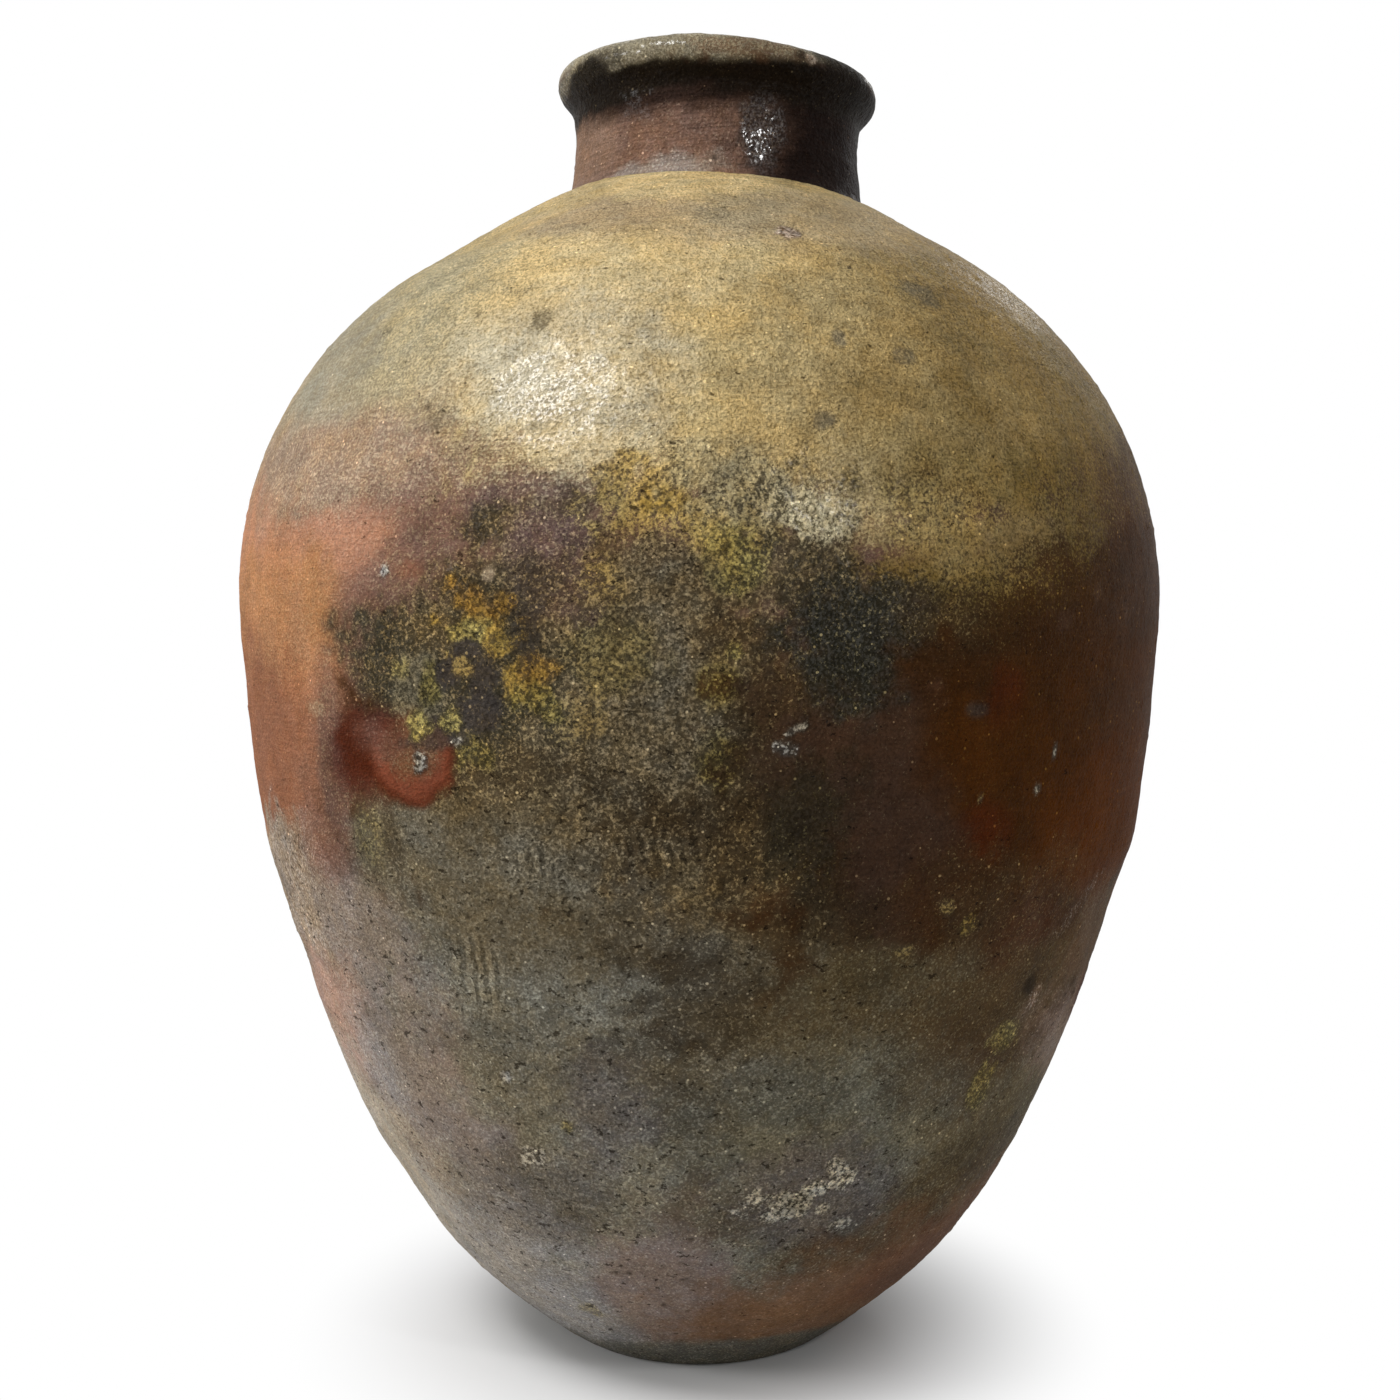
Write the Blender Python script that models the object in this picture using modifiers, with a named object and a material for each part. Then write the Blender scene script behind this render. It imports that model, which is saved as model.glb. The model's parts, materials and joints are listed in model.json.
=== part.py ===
"""A tall coil-built stoneware storage jar with a short neck and a rolled rim.

The jar is raised in stages. A disc makes the floor, and each stage of the wall stands on the
bevelled edge of the stage below, in a lap that slopes down towards the inside. The neck and the
rim share an axis that stands a little beside the body's and leans, as on the real jar.
Lengths are in metres, +Z is up, and the origin is the middle of the face that it stands on.
"""

import math

import bmesh
import bpy
import numpy as np

# Body
BELLY_DIAMETER = 0.362
BELLY_HEIGHT = 0.293
SHOULDER_RISE = 0.157
BASE_DIAMETER = 0.1085
BASE_EDGE_RADIUS = 0.004
FLOOR_THICKNESS = 0.014
FLOOR_RIM_RISE = 0.003
WALL = 0.010

# Neck, in its own leaning frame, whose origin is the middle of its foot
NECK_FOOT_DIAMETER = 0.1186
NECK_WAIST_DIAMETER = 0.1118
NECK_HEIGHT = 0.030
NECK_WALL = 0.0091
NECK_OFFSET = 0.007
NECK_LEAN = math.radians(3.0)

# Rim
RIM_DIAMETER = 0.1266
RIM_HEIGHT = 0.020
RIM_ROLL_RADIUS = 0.0058
RIM_FLARE_ANGLE = math.radians(-36.0)

# Joints
LAP = 0.006
CLEARANCE = 0.0003
CUT_REACH = 0.020

# Fineness of the turned surfaces
TURN_STEPS = 64
OUTER_STEP = 0.021
INNER_STEP = 0.030
ROLL_STEPS = 12
EDGE_STEPS = 3
CURVE_STEPS = 12
MERGE_DISTANCE = 0.00001

# Outline from the base to the belly, as (share of BELLY_HEIGHT, share of the swell from base to belly)
LOWER_OUTLINE_SHARES = (
    (0.0, 0.0),
    (0.051, 0.152),
    (0.119, 0.327),
    (0.205, 0.484),
    (0.307, 0.614),
    (0.444, 0.745),
    (0.580, 0.848),
    (0.683, 0.918),
    (0.788, 0.961),
    (0.922, 0.989),
    (1.0, 1.0),
)

# Outline above the belly, as (share of SHOULDER_RISE, share of the spread from neck foot to belly).
# The last point lies under the neck and is cut away with its seat.
UPPER_OUTLINE_SHARES = (
    (0.146, 0.987),
    (0.331, 0.926),
    (0.490, 0.826),
    (0.618, 0.707),
    (0.745, 0.541),
    (0.873, 0.298),
    (0.981, 0.047),
    (1.038, -0.110),
)

# Stages of the wall, and the top of each as a share of the height up to the neck
STAGES = ("foot_wall", "lower_wall", "belly_wall", "upper_belly_wall")
STAGE_TOP_SHARES = (0.184, 0.440, 0.656, 0.891)

# Outside of the neck, top to foot, as (share of NECK_HEIGHT, share of the spread from waist to foot)
NECK_OUTSIDE_SHARES = (
    (1.0, 0.18),
    (0.90, 0.06),
    (0.70, 0.0),
    (0.40, 0.20),
    (0.20, 0.38),
    (0.075, 0.62),
    (0.0, 1.0),
)

# Inside of the neck, foot to top, as (share of its height inside, share of the spread at its foot)
NECK_INSIDE_SHARES = (
    (0.197, 0.49),
    (0.394, 0.18),
    (0.636, 0.03),
)

# Hollow under the flare of the rim, as (share of the flare's height, share of its spread)
RIM_UNDERCUT_SHARE = (0.30, 0.07)

# Throat of the rim, joint to roll, as (share of the throat's height, share of its spread)
RIM_THROAT_SHARES = (
    (0.30, 0.04),
    (0.64, 0.37),
    (0.87, 0.80),
)

# Colour and roughness of each piece's clay
CLAYS = {
    "base_disc": ((0.075, 0.060, 0.048), 0.80),
    "foot_wall": ((0.130, 0.105, 0.088), 0.70),
    "lower_wall": ((0.095, 0.082, 0.060), 0.70),
    "belly_wall": ((0.090, 0.060, 0.040), 0.65),
    "upper_belly_wall": ((0.170, 0.120, 0.062), 0.60),
    "shoulder_dome": ((0.330, 0.245, 0.120), 0.60),
    "neck_collar": ((0.110, 0.060, 0.042), 0.40),
    "rolled_rim": ((0.150, 0.125, 0.070), 0.50),
}


def smooth_curve(points):
    """Points on a smooth curve through the given ones.

    Each stretch is a cubic. Its direction at both ends follows the points on either side, weighed by
    how far off they lie, so that uneven spacing makes no waves.
    """
    points = np.array(points)
    lengths = np.linalg.norm(np.diff(points, axis=0), axis=1)
    knots = np.concatenate(([0.0], np.cumsum(lengths)))
    slopes = np.gradient(points, knots, axis=0)
    t = np.linspace(0.0, 1.0, CURVE_STEPS, endpoint=False)[:, None]
    stretches = []
    for start, length in enumerate(lengths):
        stretch = (1 + 2 * t) * (1 - t) ** 2 * points[start]
        stretch = stretch + t * (1 - t) ** 2 * length * slopes[start]
        stretch = stretch + t ** 2 * (3 - 2 * t) * points[start + 1]
        stretch = stretch + t ** 2 * (t - 1) * length * slopes[start + 1]
        stretches.append(stretch)
    stretches.append(points[-1:])
    return np.vstack(stretches)


def body_outline():
    """Control points of the body's outer side as (radius, height), from the base to under the neck."""
    belly = BELLY_DIAMETER / 2
    base = BASE_DIAMETER / 2
    foot = NECK_FOOT_DIAMETER / 2
    lower = [(base + swell * (belly - base), height * BELLY_HEIGHT)
             for height, swell in LOWER_OUTLINE_SHARES]
    upper = [(foot + spread * (belly - foot), BELLY_HEIGHT + height * SHOULDER_RISE)
             for height, spread in UPPER_OUTLINE_SHARES]
    return lower + upper


class Wall:
    """The body's wall as an outer and an inner curve, both read by the distance along the outer one."""

    def __init__(self, control_points):
        self.outer = smooth_curve(control_points)
        lengths = np.linalg.norm(np.diff(self.outer, axis=0), axis=1)
        self.distance = np.concatenate(([0.0], np.cumsum(lengths)))
        self.along = np.gradient(self.outer, self.distance, axis=0)
        self.along /= np.linalg.norm(self.along, axis=1)[:, None]
        self.outward = np.column_stack((self.along[:, 1], -self.along[:, 0]))
        self.inner = self.outer - WALL * self.outward

    def read(self, values, distance):
        """A curve's point, or the wall's direction, at a distance along the wall."""
        return np.array([np.interp(distance, self.distance, column) for column in values.T])

    def at_height(self, curve, height):
        """The distance along the wall at which a curve reaches a height."""
        return float(np.interp(height, curve[:, 1], self.distance))

    def stretch(self, curve, start, end, step):
        """Evenly spaced points of a curve from one distance to another, both ends included."""
        count = max(2, math.ceil(abs(end - start) / step) + 1)
        return [tuple(self.read(curve, distance)) for distance in np.linspace(start, end, count)]

    def parting(self, joint):
        """How far two stages draw apart along the wall to keep CLEARANCE between their faces."""
        face = self.read(self.outer, joint[0]) - self.read(self.inner, joint[1])
        face /= np.linalg.norm(face)
        along = self.read(self.along, joint[0])
        return CLEARANCE / abs(along[0] * face[1] - along[1] * face[0])


def floor_joint(wall):
    """The joint round the floor as the distances of its outer and its inner corner along the wall."""
    outer = wall.at_height(wall.outer, FLOOR_THICKNESS + FLOOR_RIM_RISE)
    inner = wall.at_height(wall.inner, FLOOR_THICKNESS)
    return outer, inner


def lap_joint(wall, height):
    """A lap at a height of the outer side, whose inner corner lies lower by LAP."""
    middle = wall.at_height(wall.outer, height)
    return middle + LAP / 2, middle - LAP / 2


def round_corner(before, corner, after, radius):
    """An arc that rounds a corner between two straight runs."""
    before, corner, after = (np.array(point) for point in (before, corner, after))
    inward = (before - corner) / np.linalg.norm(before - corner)
    onward = (after - corner) / np.linalg.norm(after - corner)
    half_angle = math.acos(float(np.dot(inward, onward))) / 2
    middle_way = (inward + onward) / np.linalg.norm(inward + onward)
    centre = corner + middle_way * radius / math.sin(half_angle)
    first = corner + inward * radius / math.tan(half_angle) - centre
    last = corner + onward * radius / math.tan(half_angle) - centre
    start = math.atan2(first[1], first[0])
    turn = (math.atan2(last[1], last[0]) - start + math.pi) % (2 * math.pi) - math.pi
    angles = [start + turn * step / EDGE_STEPS for step in range(EDGE_STEPS + 1)]
    return [tuple(centre + radius * np.array((math.cos(angle), math.sin(angle)))) for angle in angles]


def floor_profile(wall, joint):
    """Half section of the floor disc: its top from the axis, the raised rim, the outer side, the base."""
    shift = wall.parting(joint) / 2
    outer_side = wall.stretch(wall.outer, joint[0] - shift, 0.0, OUTER_STEP)
    inner_corner = wall.read(wall.inner, joint[1] - shift)
    corner = outer_side[-1]
    edge = round_corner(outer_side[-2], corner, (0.0, corner[1]), BASE_EDGE_RADIUS)
    return [(0.0, inner_corner[1]), tuple(inner_corner)] + outer_side[:-1] + edge + [(0.0, 0.0)]


def stage_profile(wall, foot, top):
    """Half section of one stage of the wall, down its outer side and up its inner side."""
    above = wall.parting(foot) / 2
    below = wall.parting(top) / 2
    outside = wall.stretch(wall.outer, top[0] - below, foot[0] + above, OUTER_STEP)
    inside = wall.stretch(wall.inner, foot[1] + above, top[1] - below, INNER_STEP)
    return outside + inside


def dome_profile(wall, foot):
    """Half section of the shoulder, which runs in under the neck until its seat cuts it off."""
    above = wall.parting(foot) / 2
    end = wall.distance[-1]
    outside = wall.stretch(wall.outer, end, foot[0] + above, OUTER_STEP)
    inside = wall.stretch(wall.inner, foot[1] + above, end, INNER_STEP)
    return outside + inside


def neck_seat(wall):
    """Where the shoulder carries the neck: the height there, and the wall's directions out and down."""
    shoulder = wall.outer[:, 1] > BELLY_HEIGHT
    radii = wall.outer[shoulder, 0][::-1]
    distance = float(np.interp(NECK_FOOT_DIAMETER / 2, radii, wall.distance[shoulder][::-1]))
    height = wall.read(wall.outer, distance)[1]
    return height, wall.read(wall.outward, distance), -wall.read(wall.along, distance)


def throat_radius():
    """Inner radius of the neck and the rim where they meet."""
    return NECK_WAIST_DIAMETER / 2 - NECK_WALL


def neck_top_radius():
    """Outer radius of the neck under the rim."""
    waist = NECK_WAIST_DIAMETER / 2
    return waist + NECK_OUTSIDE_SHARES[0][1] * (NECK_FOOT_DIAMETER / 2 - waist)


def rim_parting():
    """Half of the upright gap between neck and rim that keeps CLEARANCE square to their lap."""
    width = neck_top_radius() - throat_radius()
    return CLEARANCE * math.hypot(width, LAP) / width / 2


def neck_profile(outward):
    """Half section of the neck, down its outer side and up its inner side, in the neck's frame.

    Its foot is a bevel square to the shoulder's wall, as long as that wall is thick.
    """
    waist = NECK_WAIST_DIAMETER / 2
    foot = NECK_FOOT_DIAMETER / 2
    outside = [(waist + spread * (foot - waist), height * NECK_HEIGHT)
               for height, spread in NECK_OUTSIDE_SHARES]
    outside[0] = (outside[0][0], NECK_HEIGHT - rim_parting())
    inner_foot = (foot - WALL * outward[0], -WALL * outward[1])
    inner_top = (throat_radius(), NECK_HEIGHT - LAP - rim_parting())
    inside = [(inner_top[0] + spread * (inner_foot[0] - inner_top[0]),
               inner_foot[1] + height * (inner_top[1] - inner_foot[1]))
              for height, spread in NECK_INSIDE_SHARES]
    return outside + [inner_foot] + inside + [inner_top]


def rim_profile():
    """Half section of the rim: the roll as an arc, the flare below it, the lap and the throat."""
    roll_radius = RIM_DIAMETER / 2 - RIM_ROLL_RADIUS
    roll_height = NECK_HEIGHT + RIM_HEIGHT - RIM_ROLL_RADIUS
    angles = np.linspace(math.pi, RIM_FLARE_ANGLE, ROLL_STEPS + 1)
    roll = [(roll_radius + RIM_ROLL_RADIUS * math.cos(angle),
             roll_height + RIM_ROLL_RADIUS * math.sin(angle))
            for angle in angles]
    outer_foot = (neck_top_radius(), NECK_HEIGHT + rim_parting())
    inner_foot = (throat_radius(), NECK_HEIGHT - LAP + rim_parting())
    undercut = (outer_foot[0] + RIM_UNDERCUT_SHARE[1] * (roll[-1][0] - outer_foot[0]),
                outer_foot[1] + RIM_UNDERCUT_SHARE[0] * (roll[-1][1] - outer_foot[1]))
    throat = [(inner_foot[0] + spread * (roll[0][0] - inner_foot[0]),
               inner_foot[1] + height * (roll[0][1] - inner_foot[1]))
              for height, spread in RIM_THROAT_SHARES]
    return roll + [undercut, outer_foot, inner_foot] + throat


def clay(name):
    """Fired clay with the colour and the roughness of one piece."""
    colour, roughness = CLAYS[name]
    material = bpy.data.materials.new(name + "_clay")
    material.use_nodes = True
    shader = material.node_tree.nodes["Principled BSDF"]
    shader.inputs["Base Color"].default_value = (*colour, 1.0)
    shader.inputs["Roughness"].default_value = roughness
    shader.inputs["Metallic"].default_value = 0.0
    return material


def turned_piece(name, profile, collection, parent=None):
    """A closed piece turned round Z from its half section, with its own clay."""
    vertices = [(radius, 0.0, height) for radius, height in profile]
    edges = [(i, i + 1) for i in range(len(profile) - 1)]
    if profile[0][0] > 0:
        edges.append((len(profile) - 1, 0))
    mesh = bpy.data.meshes.new(name)
    mesh.from_pydata(vertices, edges, [])
    mesh.materials.append(clay(name))
    piece = bpy.data.objects.new(name, mesh)
    collection.objects.link(piece)
    piece.parent = parent
    screw = piece.modifiers.new("turn", "SCREW")
    screw.axis = "Z"
    screw.angle = 2 * math.pi
    screw.steps = TURN_STEPS
    screw.render_steps = TURN_STEPS
    screw.use_merge_vertices = True
    screw.merge_threshold = MERGE_DISTANCE
    screw.use_smooth_shade = True
    return piece


def seat_cutter(outward, downhill, collection, parent):
    """A cone that cuts the shoulder's edge square to its wall, CLEARANCE away from the neck's bevel."""
    radius = NECK_FOOT_DIAMETER / 2 + CLEARANCE * downhill[0]
    height = CLEARANCE * downhill[1]
    widening = outward[0] / outward[1]
    mesh = bpy.data.meshes.new("neck_seat_cutter")
    shape = bmesh.new()
    bmesh.ops.create_cone(
        shape,
        cap_ends=True,
        segments=TURN_STEPS,
        radius1=radius + (-CUT_REACH - height) * widening,
        radius2=radius + (CUT_REACH - height) * widening,
        depth=2 * CUT_REACH,
    )
    shape.to_mesh(mesh)
    shape.free()
    cutter = bpy.data.objects.new("neck_seat_cutter", mesh)
    collection.objects.link(cutter)
    cutter.parent = parent
    cutter.hide_render = True
    cutter.display_type = "WIRE"
    return cutter


def build_jar():
    """Build the floor, the stages of the wall, the neck and the rim in their collections."""
    for leftover in list(bpy.data.objects):
        bpy.data.objects.remove(leftover, do_unlink=True)
    pieces = bpy.data.collections.new("pottery_jar")
    cutters = bpy.data.collections.new("cutters")
    bpy.context.scene.collection.children.link(pieces)
    bpy.context.scene.collection.children.link(cutters)

    wall = Wall(body_outline())
    seat_height, outward, downhill = neck_seat(wall)

    joint = floor_joint(wall)
    turned_piece("base_disc", floor_profile(wall, joint), pieces)
    for name, share in zip(STAGES, STAGE_TOP_SHARES):
        top = lap_joint(wall, share * seat_height)
        turned_piece(name, stage_profile(wall, joint, top), pieces)
        joint = top
    dome = turned_piece("shoulder_dome", dome_profile(wall, joint), pieces)

    neck_axis = bpy.data.objects.new("neck_axis", None)
    pieces.objects.link(neck_axis)
    neck_axis.location = (NECK_OFFSET, 0.0, seat_height)
    neck_axis.rotation_euler = (0.0, NECK_LEAN, 0.0)
    turned_piece("neck_collar", neck_profile(outward), pieces, neck_axis)
    turned_piece("rolled_rim", rim_profile(), pieces, neck_axis)

    seat_cut = dome.modifiers.new("neck_seat", "BOOLEAN")
    seat_cut.operation = "DIFFERENCE"
    seat_cut.solver = "EXACT"
    seat_cut.object = seat_cutter(outward, downhill, cutters, neck_axis)


build_jar()
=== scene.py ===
# %% [markdown]
# # A coil-built stoneware storage jar
# This lesson dresses a tall jar fired in a wood kiln: a narrow foot, a high belly, a sloping
# shoulder, a short neck that leans a little, and a rolled rim. The jar is one fired body, raised
# from eight pieces of clay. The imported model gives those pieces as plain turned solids. The lesson
# works out one uneven sheet of clay with numpy, paints the kiln's ash and flame on it, and cuts it
# at the potter's joints, so that each piece of the sheet takes the place of its own solid.

# %% Load the frame
import itertools
import json
import math

import bpy
import mathutils
import numpy as np
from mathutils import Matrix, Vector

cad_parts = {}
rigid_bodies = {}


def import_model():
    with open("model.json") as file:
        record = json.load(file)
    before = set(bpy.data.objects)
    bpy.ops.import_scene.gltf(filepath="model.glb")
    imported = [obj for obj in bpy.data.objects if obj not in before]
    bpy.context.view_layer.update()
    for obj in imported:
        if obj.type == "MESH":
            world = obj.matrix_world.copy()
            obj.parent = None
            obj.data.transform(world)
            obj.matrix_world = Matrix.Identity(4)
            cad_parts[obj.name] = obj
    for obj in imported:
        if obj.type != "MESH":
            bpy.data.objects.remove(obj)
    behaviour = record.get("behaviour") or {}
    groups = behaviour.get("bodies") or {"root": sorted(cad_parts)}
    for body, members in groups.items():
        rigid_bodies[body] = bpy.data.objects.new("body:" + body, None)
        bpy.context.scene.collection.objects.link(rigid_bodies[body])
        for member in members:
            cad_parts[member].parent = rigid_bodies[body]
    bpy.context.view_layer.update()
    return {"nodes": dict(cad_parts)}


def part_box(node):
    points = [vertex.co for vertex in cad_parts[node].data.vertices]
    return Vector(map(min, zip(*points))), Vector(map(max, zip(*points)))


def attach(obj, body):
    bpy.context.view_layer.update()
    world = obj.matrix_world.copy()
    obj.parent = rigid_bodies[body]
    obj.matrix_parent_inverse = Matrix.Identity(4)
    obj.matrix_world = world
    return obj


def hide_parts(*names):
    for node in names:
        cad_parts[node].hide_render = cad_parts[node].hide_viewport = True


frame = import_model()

print("nodes:", sorted(frame["nodes"]))

# %% [markdown]
# ## The turned outline
# The body is a surface of revolution, so one curve in the (radius, height) plane describes it. The
# curve goes through a few points given as shares of the belly's height and radius. Each stretch is
# a cubic whose direction at both ends follows the neighbouring points, weighed by their distance.
# A spline object could do this too, but as an array the curve can also be measured, offset by the
# wall's thickness and read at any distance along it.

# %% Sizes of the body, in metres
BELLY_RADIUS = 0.181
BELLY_HEIGHT = 0.293
SHOULDER_RISE = 0.157
BASE_RADIUS = 0.05425
BASE_EDGE_RADIUS = 0.004
NECK_FOOT_RADIUS = 0.0593
WALL = 0.010
FLOOR_THICKNESS = 0.014
CURVE_STEPS = 24
EDGE_POINTS = 4

# Share of BELLY_HEIGHT, share of the swell from base to belly
LOWER_OUTLINE_SHARES = (
    (0.0, 0.0), (0.051, 0.152), (0.119, 0.327), (0.205, 0.484), (0.307, 0.614), (0.444, 0.745),
    (0.580, 0.848), (0.683, 0.918), (0.788, 0.961), (0.922, 0.989), (1.0, 1.0),
)
# Share of SHOULDER_RISE, share of the spread from the neck's foot to the belly
UPPER_OUTLINE_SHARES = (
    (0.146, 0.987), (0.331, 0.926), (0.490, 0.826), (0.618, 0.707), (0.745, 0.541),
    (0.873, 0.298), (0.981, 0.047), (1.038, -0.110),
)


# %% The outline as a smooth curve
def smooth_curve(points, steps=CURVE_STEPS):
    """Cubic stretches h00*p + h10*m + h01*q + h11*n through the points, with slopes m and n by distance."""
    points = np.array(points, dtype=float)
    lengths = np.linalg.norm(np.diff(points, axis=0), axis=1)
    knots = np.concatenate(([0.0], np.cumsum(lengths)))
    slopes = np.gradient(points, knots, axis=0)
    t = np.linspace(0.0, 1.0, steps, endpoint=False)[None, :, None]
    p, q, m, n = (a[:, None, :] for a in (points[:-1], points[1:], slopes[:-1], slopes[1:]))
    length = lengths[:, None, None]
    curve = (1 + 2 * t) * (1 - t) ** 2 * p + t * (1 - t) ** 2 * length * m
    curve = curve + t ** 2 * (3 - 2 * t) * q + t ** 2 * (t - 1) * length * n
    return np.vstack((curve.reshape(-1, 2), points[-1:]))


def run_length(curve):
    """Distance from a curve's start to each of its points."""
    return np.concatenate(([0.0], np.cumsum(np.linalg.norm(np.diff(curve, axis=0), axis=1))))


def read_curve(curve, run, distance):
    """Points of a curve at distances along it."""
    return np.stack([np.interp(distance, run, curve[:, axis]) for axis in (0, 1)], axis=-1)


# %% The wall's outside and inside
lower = [(BASE_RADIUS + swell * (BELLY_RADIUS - BASE_RADIUS), height * BELLY_HEIGHT)
         for height, swell in LOWER_OUTLINE_SHARES]
upper = [(NECK_FOOT_RADIUS + spread * (BELLY_RADIUS - NECK_FOOT_RADIUS),
          BELLY_HEIGHT + height * SHOULDER_RISE) for height, spread in UPPER_OUTLINE_SHARES]
outer = smooth_curve(lower + upper)
outer_run = run_length(outer)
along = np.gradient(outer, outer_run, axis=0)
along /= np.linalg.norm(along, axis=1)[:, None]
inner = outer - WALL * np.column_stack((along[:, 1], -along[:, 0]))
print("wall's length in mm:", round(outer_run[-1] * 1000, 1))

# %% [markdown]
# ## Where the stages meet
# A potter raises a jar this size in stages, and each joint slopes down towards the inside. The
# frame knows where: a stage's solid reaches up to its outer seam, and the next one's reaches down to
# the inner seam. Reading both from the frame's boxes keeps the sheet's cuts on the real joints.

# %% Seams
STAGES = ("base_disc", "foot_wall", "lower_wall", "belly_wall", "upper_belly_wall", "shoulder_dome")


def seams(curve, heights):
    """Distances along the outline at which a curve reaches some heights."""
    return [float(np.interp(height, curve[:, 1], outer_run)) for height in heights]


outer_seams = seams(outer, [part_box(stage)[1].z for stage in STAGES[:-1]])
inner_seams = seams(inner, [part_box(stage)[0].z for stage in STAGES[1:]])
print("outer seams in mm:", np.round(np.array(outer_seams) * 1000, 1))
print("inner seams in mm:", np.round(np.array(inner_seams) * 1000, 1))

# %% [markdown]
# ## Neck and rim
# The neck was added last. Its axis stands 7 mm beside the body's and leans 3 degrees, so its outline
# is drawn in a frame of its own: the rim's roll is an arc, the flare under it hollows a little, and
# the throat widens down into the shoulder.

# %% Sizes of the neck and the rim, in their own frame
NECK_OFFSET = 0.007
NECK_LEAN = math.radians(3.0)
NECK_WAIST_RADIUS = 0.0559
NECK_HEIGHT = 0.030
NECK_WALL = 0.0091
LAP = 0.006
RIM_RADIUS = 0.0633
RIM_HEIGHT = 0.020
RIM_ROLL_RADIUS = 0.0058
RIM_FLARE_ANGLE = math.radians(-36.0)
ROLL_STEPS = 24

# Height from foot to top, share of the spread from waist to foot
NECK_OUTSIDE_SHARES = (
    (0.0, 1.0), (0.075, 0.62), (0.20, 0.38), (0.40, 0.20), (0.70, 0.0), (0.90, 0.06), (1.0, 0.18),
)
# Height from top to foot inside, share of the spread at the foot
NECK_INSIDE_SHARES = ((1.0, 0.0), (0.636, 0.03), (0.394, 0.18), (0.197, 0.49), (0.0, 1.0))
# Share of the flare's height, share of its spread
RIM_UNDERCUT_SHARE = (0.30, 0.07)
# Share of the throat's height, share of its spread, from the roll down to the joint
RIM_THROAT_SHARES = ((1.0, 1.0), (0.87, 0.80), (0.64, 0.37), (0.30, 0.04), (0.0, 0.0))

seat_share = np.interp(-NECK_FOOT_RADIUS, -outer[outer[:, 1] > BELLY_HEIGHT, 0],
                       outer_run[outer[:, 1] > BELLY_HEIGHT])
seat_height = float(read_curve(outer, outer_run, seat_share)[1])
seat_outward = read_curve(np.column_stack((along[:, 1], -along[:, 0])), outer_run, seat_share)
seat_inner = np.array((NECK_FOOT_RADIUS, 0.0)) - WALL * seat_outward
print("neck's seat in mm:", round(seat_height * 1000, 1))

# %% Curves of the neck and the rim
neck_outside = smooth_curve([
    (NECK_WAIST_RADIUS + spread * (NECK_FOOT_RADIUS - NECK_WAIST_RADIUS), height * NECK_HEIGHT)
    for height, spread in NECK_OUTSIDE_SHARES])
roll_centre = np.array((RIM_RADIUS - RIM_ROLL_RADIUS, NECK_HEIGHT + RIM_HEIGHT - RIM_ROLL_RADIUS))
roll_angles = np.linspace(RIM_FLARE_ANGLE, math.pi, ROLL_STEPS)
roll = roll_centre + RIM_ROLL_RADIUS * np.column_stack((np.cos(roll_angles), np.sin(roll_angles)))
undercut = neck_outside[-1] + RIM_UNDERCUT_SHARE[::-1] * (roll[0] - neck_outside[-1])
throat_foot = np.array((NECK_WAIST_RADIUS - NECK_WALL, NECK_HEIGHT - LAP))
throat = smooth_curve([throat_foot + np.array((spread, height)) * (roll[-1] - throat_foot)
                       for height, spread in RIM_THROAT_SHARES])
neck_inside = smooth_curve([
    (throat_foot[0] + spread * (seat_inner[0] - throat_foot[0]),
     seat_inner[1] + height * (throat_foot[1] - seat_inner[1]))
    for height, spread in NECK_INSIDE_SHARES])
flare = smooth_curve([neck_outside[-1], undercut, roll[0]])
rim_outline = np.vstack((flare[:-1], roll, throat[1:]))
print("rim's outline in mm:", round(run_length(rim_outline)[-1] * 1000, 1))

# %% [markdown]
# ## One sheet of clay
# The sheet is a grid: its rows follow the outline from the middle of the underside, up the outside,
# over the rim and down the inside to the middle of the floor, and its columns go round the jar. As
# every piece is cut from this one grid, neighbours share the same points and normals along a seam
# and no line shows there. Columns crowd towards the front, where a photograph looks closest, by the
# smooth rule angle = t - crowding * sin(t).

# %% The grid's rows and columns
COLUMNS = 880
FRONT_CROWDING = 0.30
OUTER_STEP = 0.00127
INNER_STEP = 0.0115
NECK_STEP = 0.00085
UNDERSIDE_STEP = 0.0035
LATE_RISE = 3


def steps_between(start, end, step):
    """Evenly spaced distances with both ends, at most a step apart."""
    return np.linspace(start, end, max(2, math.ceil(abs(end - start) / step) + 1))


turn = np.linspace(-math.pi, math.pi, COLUMNS, endpoint=False)
column_angle = turn - FRONT_CROWDING * np.sin(turn)


def ring(radius, height, angle=column_angle):
    """Points (r sin a, -r cos a, z) of rings round Z, where angle 0 is the front and +X is 90 degrees."""
    radius, height, angle = np.broadcast_arrays(radius, height, angle)
    return np.stack((radius * np.sin(angle), -radius * np.cos(angle), height), axis=-1)


def neck_ring(radius, height):
    """Rings round the neck's axis: turned by the lean about Y, then moved to the neck's seat."""
    points = ring(radius, height)
    x, y, z = np.moveaxis(points, -1, 0)
    leaning_x = x * math.cos(NECK_LEAN) + z * math.sin(NECK_LEAN)
    leaning_z = z * math.cos(NECK_LEAN) - x * math.sin(NECK_LEAN)
    return np.stack((leaning_x + NECK_OFFSET, y, leaning_z + seat_height), axis=-1)


# %% Rows of each stretch of the sheet
def body_rows(curve, distances):
    """Rings of the body's curve at distances along the outline."""
    points = read_curve(curve, outer_run, distances)
    return ring(points[:, :1], points[:, 1:])


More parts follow.
